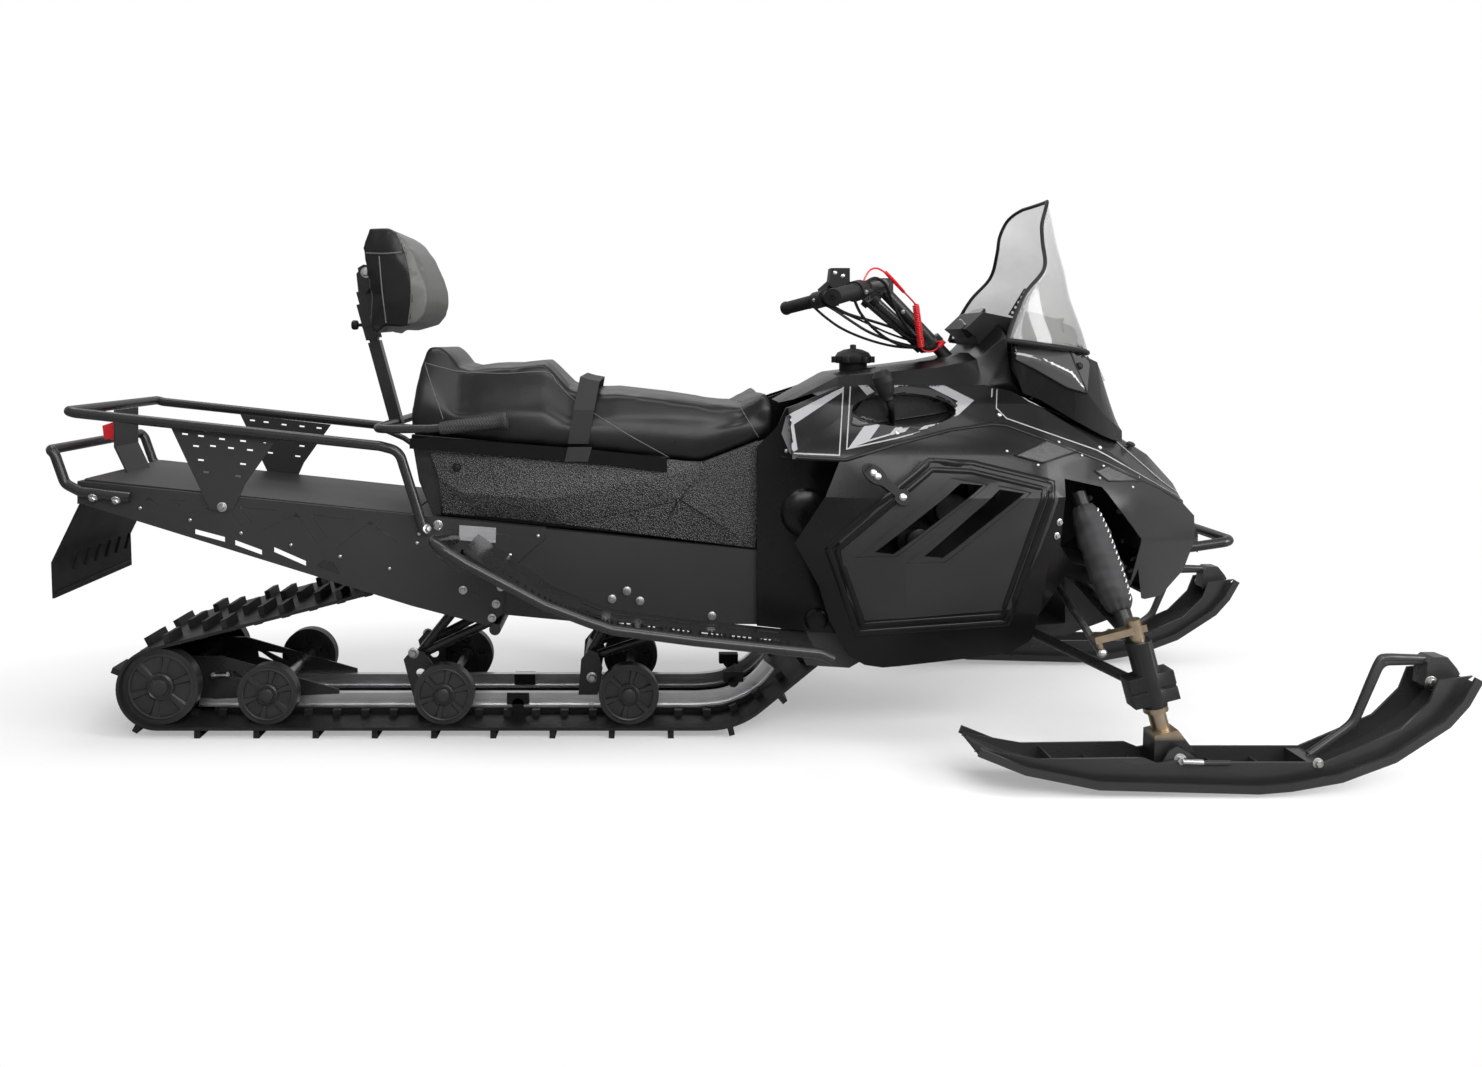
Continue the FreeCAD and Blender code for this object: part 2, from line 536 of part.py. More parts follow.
# Running boards and their edge rails
board_shares = [(-0.3523, 0.3826), (-0.2398, 0.2860), (-0.1775, 0.2554), (-0.1477, 0.2430), (-0.0339, 0.2256), (0.1375, 0.2041)]
board_line = place_list(board_shares)
board = prism(band(board_line, s.board_thick), -s.board_half, -s.board_inner)
flange_line = [p for p in board_line if p.x > extension_outline[5].x + s.cut_extra]
flange = prism(flange_line + [p - Vector(0, 0, s.board_flange) for p in flange_line[::-1]], -s.board_inner, -s.tunnel_half)
holes = []
for row in range(3):
    y = -s.board_inner - (row + 0.6) * (s.board_half - s.board_inner) / 3.3
    x = board_line[1].x + s.board_hole_pitch
    while x < board_line[-1].x - s.board_hole_pitch:
        holes.append(Part.makeBox(s.board_hole_long, s.board_hole_wide, s.height, Vector(x, y - s.board_hole_wide / 2, 0)))
        x += s.board_hole_pitch
board = board.cut(Part.makeCompound(holes)).fuse(flange)
node("running_boards", both(board))
board_rail_shares = [(-0.3977, 0.4000), (-0.3469, 0.3612), (-0.2398, 0.2926), (-0.1782, 0.2645), (-0.1477, 0.2521), (-0.0339, 0.2339), (0.1375, 0.2124), (0.1551, 0.2025)]
rail_y = -s.board_half - s.frame_tube_radius
start_share = (-0.3875, 0.3736)
edge_points = [at(start_share, -s.board_inner)] + place_list(board_rail_shares, rail_y)
board_rail = tube(edge_points, s.frame_tube_radius, s.small_bend * 1.5).cut(across(extension_outline, s.board_inner))
node("board_rails", both(max(board_rail.Solids, key=lambda x: x.Volume)))

# Rear rack: rail loop and perforated side plates
rack_y = -(s.tunnel_half + s.extension_wall + s.rack_plate_thick + s.frame_tube_radius)
rack_shares = [(-0.4316, 0.4080), (-0.4688, 0.5351), (-0.4971, 0.5441), (-0.9509, 0.6040), (-0.9613, 0.6077)]
rack_side = place_list(rack_shares, rack_y)
rack_side[0].z = at((-0.4262, 0.3884)).z
lean = s.rack_plate_thick
rack_side[0].y = rack_y + lean
rack_points = rack_side + [Vector(p.x, -p.y, p.z) for p in rack_side[::-1]]
rack_rail = tube(rack_points, s.frame_tube_radius, s.frame_bend)
node("rack_rail", rack_rail)
plate_shares = [(-0.8117, 0.5778), (-0.6532, 0.5559), (-0.7011, 0.4738), (-0.7175, 0.4282), (-0.7355, 0.4227), (-0.7534, 0.4282), (-0.7728, 0.4774)]
plate_slot_shares = [(-0.7908, 0.5650), (-0.7669, 0.5614), (-0.7355, 0.5559), (-0.7040, 0.5523), (-0.6741, 0.5486), (-0.7743, 0.5431), (-0.7489, 0.5431), (-0.7220, 0.5395), (-0.6936, 0.5358), (-0.7669, 0.5176), (-0.7040, 0.5103), (-0.7594, 0.4957), (-0.7115, 0.4884)]
plate_bolt_share = (-0.7355, 0.4355)
slot_along = (at(plate_slot_shares[4]) - at(plate_slot_shares[0])).normalize() * (s.rack_slot_high * 1.75)
slot_up = Vector(-slot_along.z, 0, slot_along.x).normalize() * (s.rack_slot_high / 2)
plate_slots = [[p - slot_along - slot_up, p + slot_along - slot_up, p + slot_along + slot_up, p - slot_along + slot_up] for p in place_list(plate_slot_shares)]
plate = sketch_pad("rack_plate", [place_list(plate_shares)] + plate_slots, -(s.tunnel_half + s.extension_wall + s.rack_plate_thick / 2), "sizes.rack_plate_thick",
                   [(at(plate_bolt_share), s.rack_slot_high)])
rack_plates = keep("rack_plates", pair_object("rack_plates", plate))

# Rear bumper loop
bumper_y = -(s.tunnel_half + s.extension_wall + s.frame_tube_radius)
bumper_shares = [(-0.8699, 0.4504), (-0.9431, 0.4603), (-0.9668, 0.4752), (-0.9824, 0.5289), (-0.9892, 0.5372)]
bumper_side = place_list(bumper_shares, bumper_y)
node("rear_bumper", tube(bumper_side + [Vector(p.x, -p.y, p.z) for p in bumper_side[::-1]], s.frame_tube_radius, s.small_bend))

# Tail lamp bracket hangs from the rear of the rack rail
tail_shares = [(-0.9465, 0.6008), (-0.9465, 0.5289), (-0.9268, 0.4860), (-0.9241, 0.4860), (-0.9438, 0.5298), (-0.9438, 0.6008)]
tail_points = place_list(tail_shares)
tail_points[3:4] = [deck_at(tail_points[3].x, s.deck_thick + s.wheel_gap)]
tail_points[2:3] = [deck_at(tail_points[2].x, s.deck_thick + s.wheel_gap)]
tail_bracket = across(tail_points, s.deck_half * 0.3).cut(rack_rail)
node("tail_bracket", tail_bracket)
lamp_shares = [(-0.9465, 0.5785), (-0.9465, 0.5413), (-0.9648, 0.5455), (-0.9675, 0.5702)]
node("tail_lamp", across(place_list(lamp_shares), s.deck_half * 0.26))

# Seat base, seat, side bars and strap
seat_base_shares = [(-0.4548, 0.5567), (-0.4172, 0.5567), (-0.1855, 0.5347), (-0.0666, 0.5163), (-0.0155, 0.5127), (0.0688, 0.5530), (0.0868, 0.5659)]
seat_top_shares = [(0.0913, 0.5916), (0.0913, 0.6228), (0.0808, 0.6374), (0.0552, 0.6411), (0.0266, 0.6356), (-0.0035, 0.6338), (-0.0787, 0.6430), (-0.1644, 0.6558), (-0.1885, 0.6613), (-0.2141, 0.6705), (-0.2442, 0.6943), (-0.2562, 0.6998), (-0.3028, 0.6943), (-0.3405, 0.6980), (-0.3751, 0.7035), (-0.4006, 0.7164), (-0.4172, 0.7182), (-0.4382, 0.6998), (-0.4503, 0.6374), (-0.4578, 0.5971)]
seat_points = place_list(seat_base_shares) + place_list(seat_top_shares)
seat_mid = at((0.0000, 0.6074)).z
seat_bottom = at((0.0000, 0.4959)).z
seat_crown = at((0.0000, 0.7231)).z


def seat_shape(extra):
    wide, top = s.seat_half + extra, s.seat_top_half + extra
    section = [(-wide, seat_bottom), (-wide, seat_mid), (-top, seat_crown + extra), (top, seat_crown + extra), (wide, seat_mid), (wide, seat_bottom)]
    side = across([p + Vector(0, 0, extra if i >= len(seat_base_shares) else -extra) for i, p in enumerate(seat_points)], wide)
    return side.common(along_x(section, -s.half_length, s.half_length))


node("seat", seat_shape(0.0))
box_top = [p - Vector(0, 0, s.seat_gap) for p in place_list(seat_base_shares)[1:-1]]
box_low_shares = [(0.0644, 0.3539), (-0.2514, 0.3927), (-0.4112, 0.4124)]
box_low = [deck_at(p.x) for p in place_list(box_low_shares)]
seat_box = across(box_top + box_low, s.seat_box_half)
bar_shares = [(-0.4548, 0.5640), (-0.0682, 0.5218), (-0.0682, 0.5053), (-0.4548, 0.5475)]
seat_bar = prism(place_list(bar_shares), -s.seat_half - s.seat_gap - s.seat_bar_thick, -s.seat_half - s.seat_gap)
node("seat_box", Part.makeCompound([seat_box, seat_bar, mirrored(seat_bar)]))
strap_shares = [(-0.1911, 0.7438), (-0.1599, 0.7438), (-0.1883, 0.5455), (-0.2195, 0.5455)]
strap_zone = across(place_list(strap_shares), s.half_length)
strap = seat_shape(s.seat_gap + s.strap_thick).cut(seat_shape(s.seat_gap)).common(strap_zone)
node("seat_strap", strap)

# Grab bar round the back of the seat with two soft grips
grab_shares = [(-0.5047, 0.5752), (-0.4092, 0.5760), (-0.3076, 0.5909), (-0.2873, 0.5455), (-0.2832, 0.4860)]
grab_side = place_list(grab_shares, -s.grab_half)
grab_side[4].y = -s.seat_box_half + s.grab_radius
grab_points = grab_side[::-1] + [Vector(p.x, -p.y, p.z) for p in grab_side]
grab = tube(grab_points, s.grab_radius, s.small_bend).cut(seat_box)
grab = max(grab.Solids, key=lambda x: x.Volume)
node("grab_bar", grab)
g0, g1 = grab_side[1] + (grab_side[2] - grab_side[1]) * 0.06, grab_side[1] + (grab_side[2] - grab_side[1]) * 0.8
grip = rod(g0, g1, s.grab_grip_radius).cut(rod(g0 - (g1 - g0), g1 + (g1 - g0), s.grab_radius + s.seat_gap))
node("grab_grips", both(grip))

# Backrest post, sliding sleeve and tilting pad
post_foot = at((-0.5047, 0.5702))
post_head = at((-0.5447, 0.7479))
post_dir = (post_head - post_foot).normalize()
post_front = Vector(post_dir.z, 0, -post_dir.x)


def post_box(wide, start, end):
    a = post_foot + post_dir * start
    b = post_foot + post_dir * end
    half = wide / 2
    return across([a - post_front * half, a + post_front * half, b + post_front * half, b - post_front * half], half)


post = post_box(s.post_wide, 0, s.post_long).fuse(post_box(s.mast_wide, 0, s.mast_long))
node("backrest_post", post.cut(grab))
pivot = at((-0.5556, 0.8711))
sleeve_end = s.sleeve_start + s.sleeve_long
sleeve = post_box(s.sleeve_wide, s.sleeve_start, sleeve_end).cut(post_box(s.mast_wide + 2 * s.mast_gap, 0, s.mast_long))
cheek_low = post_foot + post_dir * (s.sleeve_start + s.sleeve_long * 0.35)
cheek_top = post_foot + post_dir * sleeve_end
half = s.sleeve_wide / 2
cheek_points = [cheek_low - post_front * half, cheek_low + post_front * half, pivot + post_front * s.cheek_radius, pivot + post_dir * s.cheek_radius, pivot - post_front * s.cheek_radius * 1.3]
cheeks = []
for side in (-1, 1):
    y0, y1 = sorted((side * half, side * (half + s.cheek_thick)))
    cheeks.append(prism(cheek_points, y0, y1))
pin = rod(Vector(pivot.x, -half - s.cheek_thick, pivot.z), Vector(pivot.x, half + s.cheek_thick, pivot.z), s.pivot_pin_radius)
node("backrest_sleeve", sleeve.multiFuse(cheeks + [pin]))
pad_shares = [(-0.5265, 0.9479), (-0.4909, 0.9498), (-0.4662, 0.9328), (-0.4445, 0.9026), (-0.4275, 0.8630), (-0.4182, 0.8347), (-0.4167, 0.8102), (-0.4229, 0.7856), (-0.4368, 0.7668), (-0.4677, 0.7592), (-0.5002, 0.7611), (-0.5110, 0.7479), (-0.5218, 0.7498), (-0.5419, 0.8913), (-0.5388, 0.9120)]
pad_points = place_list(pad_shares)
pad_solid = across(pad_points, s.pad_half)
plate_top = at((-0.5393, 0.9174))
plate_low = at((-0.5244, 0.8140))
plate_back = Vector(-s.pad_plate_thick, 0, 0)
pad_plate = across([plate_top, plate_low, plate_low + plate_back, plate_top + plate_back], s.pad_half * 0.5)
lug_half = half - s.cheek_gap
lug_low = at((-0.5352, 0.8562))
pad_lug = across([pivot - Vector(0, 0, s.cheek_radius), pivot - Vector(s.cheek_radius, 0, 0), pivot + Vector(0, 0, s.cheek_radius), at((-0.5366, 0.8926)), at((-0.5325, 0.8562))], lug_half)
pad_lug = pad_lug.cut(rod(Vector(pivot.x, -s.pad_half, pivot.z), Vector(pivot.x, s.pad_half, pivot.z), s.pivot_pin_radius + s.pin_gap))
pad_bracket = pad_plate.fuse(pad_lug)
node("pad_bracket", pad_bracket)
node("backrest_pad", pad_solid.cut(across([plate_top + Vector(s.seat_gap, 0, s.height), plate_top + Vector(s.seat_gap, 0, 0), plate_low + Vector(s.seat_gap, 0, 0), plate_low + Vector(s.seat_gap, 0, -s.height), plate_low + Vector(-s.height, 0, -s.height), plate_top + Vector(-s.height, 0, s.height)], s.pad_half * 2)))

# Body shell: a faceted loft cut to the side outline, hollow and open at the back
level_shares = [0.13, 0.248, 0.372, 0.463, 0.537, 0.62, 0.67]
station_shares = [
    (0.090, [0.66, 0.80, 0.94, 0.975, 0.91, 0.72, 0.50]),
    (0.271, [0.68, 0.86, 0.98, 1.00, 0.94, 0.75, 0.54]),
    (0.474, [0.62, 0.83, 0.95, 0.965, 0.86, 0.68, 0.48]),
    (0.610, [0.50, 0.67, 0.77, 0.74, 0.61, 0.48, 0.34]),
    (0.745, [0.28, 0.40, 0.47, 0.40, 0.28, 0.18, 0.12])]
body_shares = [(0.1077, 0.6157), (0.1904, 0.6521), (0.4099, 0.6537), (0.4458, 0.6430), (0.5501, 0.5653), (0.6301, 0.4975), (0.7053, 0.4446), (0.7351, 0.4099), (0.7310, 0.3620), (0.7141, 0.3107), (0.6734, 0.2669), (0.6436, 0.2645), (0.5014, 0.3207), (0.4675, 0.2529), (0.4627, 0.2008), (0.4370, 0.1752), (0.3902, 0.1661), (0.2480, 0.1471), (0.2209, 0.1521), (0.1972, 0.1694), (0.1646, 0.2405), (0.1470, 0.3050), (0.1104, 0.3843), (0.1531, 0.4661), (0.1748, 0.5256), (0.1077, 0.5289)]
inner_shares = [(0.0678, 0.6099), (0.1904, 0.6471), (0.4085, 0.6488), (0.4438, 0.6380), (0.5474, 0.5612), (0.6280, 0.4934), (0.7019, 0.4413), (0.7304, 0.4083), (0.7270, 0.3636), (0.7114, 0.3149), (0.6714, 0.2719), (0.6457, 0.2694), (0.4993, 0.3273), (0.4627, 0.2545), (0.4587, 0.2025), (0.4350, 0.1802), (0.3896, 0.1711), (0.2480, 0.1521), (0.2222, 0.1570), (0.2005, 0.1719), (0.1355, 0.1983), (0.0678, 0.3306)]


def cowl_loft(extra, z_extra=0.0):
    wires = []
    for x_share, widths in station_shares:
        x = x_share * s.half_length
        right = [Vector(x, -(w * s.cowl_half + extra), level * s.height) for w, level in zip(widths, level_shares)]
        left = [Vector(p.x, -p.y, p.z) for p in right[::-1]]
        points = right + left
        wires.append(Part.makePolygon(points + points[:1]))
    return loft(wires)


# A crowned nose cap runs down the middle of the shell
crown_stations = [
    ((0.4743, 0.5289)[0], [(0.606, 0.579), (0.606, 0.616), (0.338, 0.640), (0.0, 0.649)]),
    ((0.5501, 0.5289)[0], [(0.577, 0.512), (0.577, 0.565), (0.338, 0.607), (0.0, 0.620)]),
    ((0.6301, 0.5289)[0], [(0.535, 0.463), (0.535, 0.4975), (0.282, 0.555), (0.0, 0.570)]),
    ((0.6883, 0.5289)[0], [(0.465, 0.413), (0.465, 0.453), (0.225, 0.5165), (0.0, 0.529)]),
    ((0.7351, 0.5289)[0], [(0.394, 0.364), (0.394, 0.410), (0.169, 0.4595), (0.0, 0.470)]),
    ((0.7622, 0.5289)[0], [(0.282, 0.331), (0.282, 0.368), (0.113, 0.405), (0.0, 0.417)])]
cowl_outer = cowl_loft(0.0)
crown = half_section_loft(crown_stations, s.cowl_half)
crown_hollow = half_section_loft([crown_stations[0]] + crown_stations[1:-1], s.cowl_half, -s.shell_wall)
cowl_solid = cowl_outer.common(across(place_list(body_shares), s.cowl_half * 1.2))
cowl_inner = cowl_loft(-s.shell_wall).common(across(place_list(inner_shares), s.cowl_half * 1.2))
shock_shares = [(0.5007, 0.4934), (0.5617, 0.4760), (0.6267, 0.3802), (0.6131, 0.3041), (0.5095, 0.3471), (0.4892, 0.3785)]
shock_open = across(place_list(shock_shares), s.cowl_half * 1.2).cut(across(place_list(shock_shares), s.cowl_half * 0.45))
top_open_shares = [(0.2236, 0.6116), (0.4065, 0.6116), (0.4065, 0.7438), (0.2236, 0.7438)]
top_open = across(place_list(top_open_shares), s.console_half * 0.5)
cover_shares = [(0.1728, 0.3884), (0.2886, 0.5240), (0.3421, 0.5240), (0.4743, 0.4860), (0.4851, 0.4603), (0.4248, 0.2628), (0.2080, 0.2413), (0.1883, 0.2876)]
cover_line = place_list(cover_shares)
cover_hole = prism(grown(cover_line, s.cover_gap), -s.cowl_half * 1.2, -s.cowl_half * 0.72)
shell = cowl_solid.fuse(crown).cut(cowl_inner).cut(crown_hollow)
shell = shell.cut(Part.makeCompound([shock_open, top_open, cover_hole, mirrored(cover_hole)]))
riser_top = at((0.2805, 0.8397))
riser_low = at((0.4255, 0.6537))
riser_dir = (riser_low - riser_top).normalize()
riser_hole = rod(riser_top, riser_low + riser_dir * s.half_length * 0.1, s.riser_radius + s.riser_clear)
floor_shares = [(0.498, 0.74), (0.590, 0.70), (0.625, 0.70), (0.655, 0.52)]
floor_edge = [Vector(a * s.half_length, -b * s.cowl_half, 0) for a, b in floor_shares]
floor_open = plan(floor_edge + [Vector(p.x, -p.y, p.z) for p in floor_edge[::-1]], 0.22 * s.height, 0.37 * s.height)
tunnel_zone = across([p + Vector(s.cover_gap if p.x > 0 else 0, 0, s.cover_gap if i < 2 else -s.cut_extra) for i, p in enumerate(outline)], s.tunnel_half + s.cover_gap)
frame_zone = across([at(p) for p in [(0.4336, 0.1785), (0.5420, 0.1785), (0.5420, 0.2116), (0.4336, 0.2033)]], s.bulkhead_half + s.cover_gap)
shell = shell.cut(floor_open).cut(tunnel_zone).cut(frame_zone).cut(riser_hole)

# Footwell panels stand beside the tunnel, with a round bulge and the drive axle's bearing cap
footwell_shares = [(0.0644, 0.2165), (0.1016, 0.2116), (0.1375, 0.2066), (0.2033, 0.2008), (0.2033, 0.6364), (0.1904, 0.6488), (0.1077, 0.6124), (0.0949, 0.5785), (0.0644, 0.5413)]
footwell_inner = s.tunnel_half + s.cover_gap + 2 * s.tunnel_wall / 3
footwell_outer = footwell_inner + s.footwell_thick
panel = prism(place_list(footwell_shares), -footwell_outer, -footwell_inner)
bulge_at = at((0.1369, 0.4223), -footwell_outer)
bulge_profile = [(0, -0.3), (1.0, -0.3), (0.97, 0.1), (0.86, 0.55), (0.62, 0.85), (0.3, 0.98), (0, 1)]
bulge = turned([(r * 0.27 * s.tunnel_half, t * 2 * s.footwell_thick) for r, t in bulge_profile], bulge_at, Vector(0, -1, 0))
bearing_at = Vector(place["drive"].x, -footwell_outer, place["drive"].z + 0.004 * s.height)
bearing = turned([(0, -0.3 * s.footwell_thick), (s.wheel_hub * 1.35, -0.3 * s.footwell_thick), (s.wheel_hub * 1.25, s.footwell_thick * 0.6), (s.wheel_hub, s.footwell_thick), (0, s.footwell_thick)], bearing_at, Vector(0, -1, 0))
footwell = panel.multiFuse([bulge, bearing])

# The gear lever's tub is pressed into the right-hand shoulder
tub_centre, tub_half = at((0.2762, 0.6106)), at((0.0766, 0.0273))
tub_line = oval(tub_centre, tub_half)
tub_outer = prism(oval(tub_centre, tub_half + Vector(s.tub_wall, 0, s.tub_wall)), -s.cowl_half * 1.2, -s.tub_floor_half + s.tub_wall).common(cowl_solid)
tub_inner = prism(tub_line, -s.cowl_half * 1.2, -s.tub_floor_half)
shell = shell.multiFuse([footwell, mirrored(footwell), tub_outer]).cut(tub_inner)
node("body_shell", shell)
gear_shares = [(0.2683, 0.5884), (0.2642, 0.6017), (0.2588, 0.6149), (0.2541, 0.6289)]
gear_line = place_list(gear_shares)
for p, half in zip(gear_line, (s.tub_floor_half - s.tub_wall, s.tub_floor_half + s.gear_knob_radius, s.gear_half - s.gear_rod_radius, s.gear_half)):
    p.y = -half
gear_rod = tube(gear_line, s.gear_rod_radius, s.half_length)
gear_axis = (at((0.2419, 0.6843)) - at((0.2541, 0.6289))).normalize()
knob_profile = [(0, 0), (0.5, 0), (0.5, 0.09), (0.75, 0.26), (1.0, 0.59), (0.97, 0.79), (0.6, 0.97), (0, 1)]
knob = turned([(r * s.gear_knob_radius, t * s.gear_knob_high) for r, t in knob_profile], gear_line[-1], gear_axis)
node("gear_lever", largest(gear_rod.fuse(knob).cut(shell).cut(prism(tub_line, -s.tub_floor_half, 0))))

# Louvred engine covers sit flush in the shell's side openings
recess_shares = [[(0.3330, 0.4983), (0.3853, 0.4862), (0.2523, 0.3603), (0.1943, 0.3585)], [(0.3994, 0.4845), (0.4461, 0.4724), (0.3231, 0.3499), (0.2665, 0.3482)]]
louvre_shares = [[(0.3457, 0.4880), (0.3782, 0.4845), (0.2495, 0.3654), (0.2233, 0.3689)], [(0.4009, 0.4776), (0.4362, 0.4707), (0.3202, 0.3585), (0.2934, 0.3620)]]
cover_proud = s.cover_thick / 3
cover = cowl_loft(cover_proud).common(prism(cover_line, -s.cowl_half * 1.2, 0)).cut(cowl_loft(cover_proud - s.cover_thick))
for shares in recess_shares:
    cover = cover.cut(prism(place_list(shares), -s.cowl_half * 1.2, 0).cut(cowl_outer))
for shares in louvre_shares:
    cover = cover.cut(prism(place_list(shares), -s.cowl_half * 1.2, 0))
node("side_cover_right", cover)
node("side_cover_left", mirrored(cover))

# Console over the tank, with its filler cap
console_stations = [
    ((0.1084, 0.5289)[0], [(0.95, 0.533), (1.25, 0.575), (0.80, 0.612), (0.45, 0.617)]),
    ((0.1931, 0.5289)[0], [(1.10, 0.60), (1.35, 0.64), (0.95, 0.668), (0.50, 0.673)]),
    ((0.3469, 0.5289)[0], [(1.10, 0.60), (1.35, 0.65), (0.95, 0.685), (0.50, 0.697)]),
    ((0.4065, 0.5289)[0], [(1.10, 0.60), (1.33, 0.65), (1.00, 0.700), (0.55, 0.712)]),
    ((0.4505, 0.5289)[0], [(1.05, 0.60), (1.28, 0.66), (1.00, 0.745), (0.60, 0.768)]),
    ((0.4776, 0.5289)[0], [(1.00, 0.56), (1.22, 0.62), (0.90, 0.712), (0.55, 0.748)])]
console_wires = []
for x_share, section in console_stations:
    right = [Vector(x_share * s.half_length, -a * s.console_half, b * s.height) for a, b in section]
    left = [Vector(p.x, -p.y, p.z) for p in right[::-1]]
    console_wires.append(Part.makePolygon(right + left + right[:1]))
console_full = loft(console_wires)
cowl_clear = cowl_loft(s.cover_gap).common(across([p + Vector(0, 0, s.cover_gap) for p in place_list(body_shares)], s.cowl_half * 1.2))
crown_clear = half_section_loft(crown_stations, s.cowl_half, s.cover_gap)
console = largest(console_full.cut(cowl_clear).cut(crown_clear).cut(riser_hole))
node("console", console)
cap_base = at((0.2351, 0.6678))
cap_rise = at((0.2351, 0.6992)) - cap_base
cap_neck = Part.makeCylinder(s.cap_neck_radius, cap_rise.z, cap_base)
cap_profile = [(0, -0.4), (0.95, -0.4), (1.0, -0.2), (1.0, 0.25), (0.86, 0.62), (0.5, 0.9), (0.17, 1.0), (0.17, 1.35), (0, 1.4)]
cap_dome = turned([(r * s.cap_radius, t * s.cap_dome) for r, t in cap_profile], cap_base + cap_rise, Vector(0, 0, 1))
lobe_count = 12
lobes = [Part.makeCylinder(s.cap_lobe_radius, 0.6 * s.cap_dome, cap_base + cap_rise + Vector(s.cap_radius * math.cos(2 * math.pi * i / lobe_count), s.cap_radius * math.sin(2 * math.pi * i / lobe_count), -0.35 * s.cap_dome)) for i in range(0, lobe_count, 2)]
node("tank_cap", largest(cap_neck.multiFuse([cap_dome] + lobes).cut(console)))

# Upper nose with the headlamp
hood_stations = [
    ((0.4485, 0.5289)[0], [(0.61, 0.688), (0.61, 0.715), (0.56, 0.729), (0.30, 0.731)]),
    ((0.4621, 0.5289)[0], [(0.61, 0.640), (0.61, 0.711), (0.56, 0.731), (0.30, 0.733)]),
    ((0.4905, 0.5289)[0], [(0.60, 0.6265), (0.61, 0.700), (0.55, 0.731), (0.30, 0.736)]),
    ((0.5420, 0.5289)[0], [(0.56, 0.590), (0.585, 0.670), (0.50, 0.715), (0.28, 0.724)]),
    ((0.5915, 0.5289)[0], [(0.49, 0.560), (0.52, 0.600), (0.42, 0.695), (0.24, 0.705)]),
    ((0.6131, 0.5289)[0], [(0.45, 0.550), (0.47, 0.580), (0.37, 0.628), (0.22, 0.638)]),
    ((0.6335, 0.5289)[0], [(0.38, 0.545), (0.38, 0.5655), (0.30, 0.577), (0.16, 0.580)])]
hood_wires = []
for x_share, section in hood_stations:
    right = [Vector(x_share * s.half_length, -a * s.cowl_half, b * s.height) for a, b in section]
    left = [Vector(p.x, -p.y, p.z) for p in right[::-1]]
    hood_wires.append(Part.makePolygon(right + left + right[:1]))
hood_full = loft(hood_wires)
dash_zone_shares = [(0.4065, 0.3306), (0.4778, 0.3306), (0.4778, 0.9091), (0.4065, 0.9091)]
dash_zone = across(place_list(dash_zone_shares), s.console_half * 1.32)
lamp_shares = [(0.5745, 0.6959), (0.5942, 0.6959), (0.6077, 0.6587), (0.5840, 0.6587)]
lamp_line = place_list(lamp_shares)
for i in (1, 2):
    lamp_line[i].x += s.lamp_proud
hood = largest(hood_full.cut(cowl_clear).cut(crown_clear).cut(dash_zone).cut(across(grown(lamp_line, s.cover_gap), s.lamp_half + s.cover_gap)))
node("hood", hood)
node("headlamp", across(lamp_line, s.lamp_half))
pod_shares = [(0.3997, 0.7579), (0.4275, 0.7901), (0.4743, 0.7785), (0.4770, 0.7273), (0.4255, 0.7041), (0.4167, 0.7421)]
pod = largest(across(place_list(pod_shares), s.console_half * 0.62).cut(console_full).cut(riser_hole))
node("dash_pod", pod)

# Windscreen
screen_stations = [
    ((0.4339, 0.7339), 236.0 / 355.0, (0.6043, 0.7083)), ((0.4675, 0.8223), 210.0 / 355.0, (0.5766, 0.8157)), ((0.4986, 0.8678), 197.0 / 355.0, (0.5678, 0.8595)),
    ((0.5037, 0.9174), 165.0 / 355.0, (0.5569, 0.9140)), ((0.5136, 0.9752), 140.0 / 355.0, (0.5454, 0.9777)), ((0.5190, 0.9917), 117.0 / 355.0, (0.5359, 1.0000))]
screen_wires = []
for edge_share, wide_share, front_share in screen_stations:
    e, f = at(edge_share), at(front_share)
    w = wide_share * s.cowl_half
    back = (Vector(e.x, 0, e.z) - f).normalize() * s.screen_thick
    inward = Vector(0, s.screen_thick, 0)
    a, b, c = Vector(e.x, -w, e.z), f, Vector(e.x, w, e.z)
    a2, b2, c2 = a + inward, b + back, c - inward
    screen_wires.append(Part.Wire([Part.Arc(a, b, c).toShape(), Part.makeLine(c, c2), Part.Arc(c2, b2, a2).toShape(), Part.makeLine(a2, a)]))
screen = largest(loft(screen_wires).cut(hood_full))
node("windshield", screen)
strap_low, strap_high = at((0.4668, 0.6992), -0.6115 * s.cowl_half), at((0.4858, 0.8380), -0.5690 * s.cowl_half)
strap_plate, strap_out = strip(strap_low, strap_high, s.strap_wide, s.strap_plate)
strap_run = strap_high - strap_low
strap_holes = []
spot = s.strap_hole_pitch / 2
while spot < strap_run.Length:
    centre = strap_low + strap_run * (spot / strap_run.Length)
    strap_holes.append(rod(centre - strap_out * s.strap_wide, centre + strap_out * s.strap_wide, s.strap_hole_radius))
    spot += s.strap_hole_pitch
screen_strap = largest(strap_plate.cut(Part.makeCompound(strap_holes)).cut(hood_full).cut(screen))
node("screen_straps", both(screen_strap))

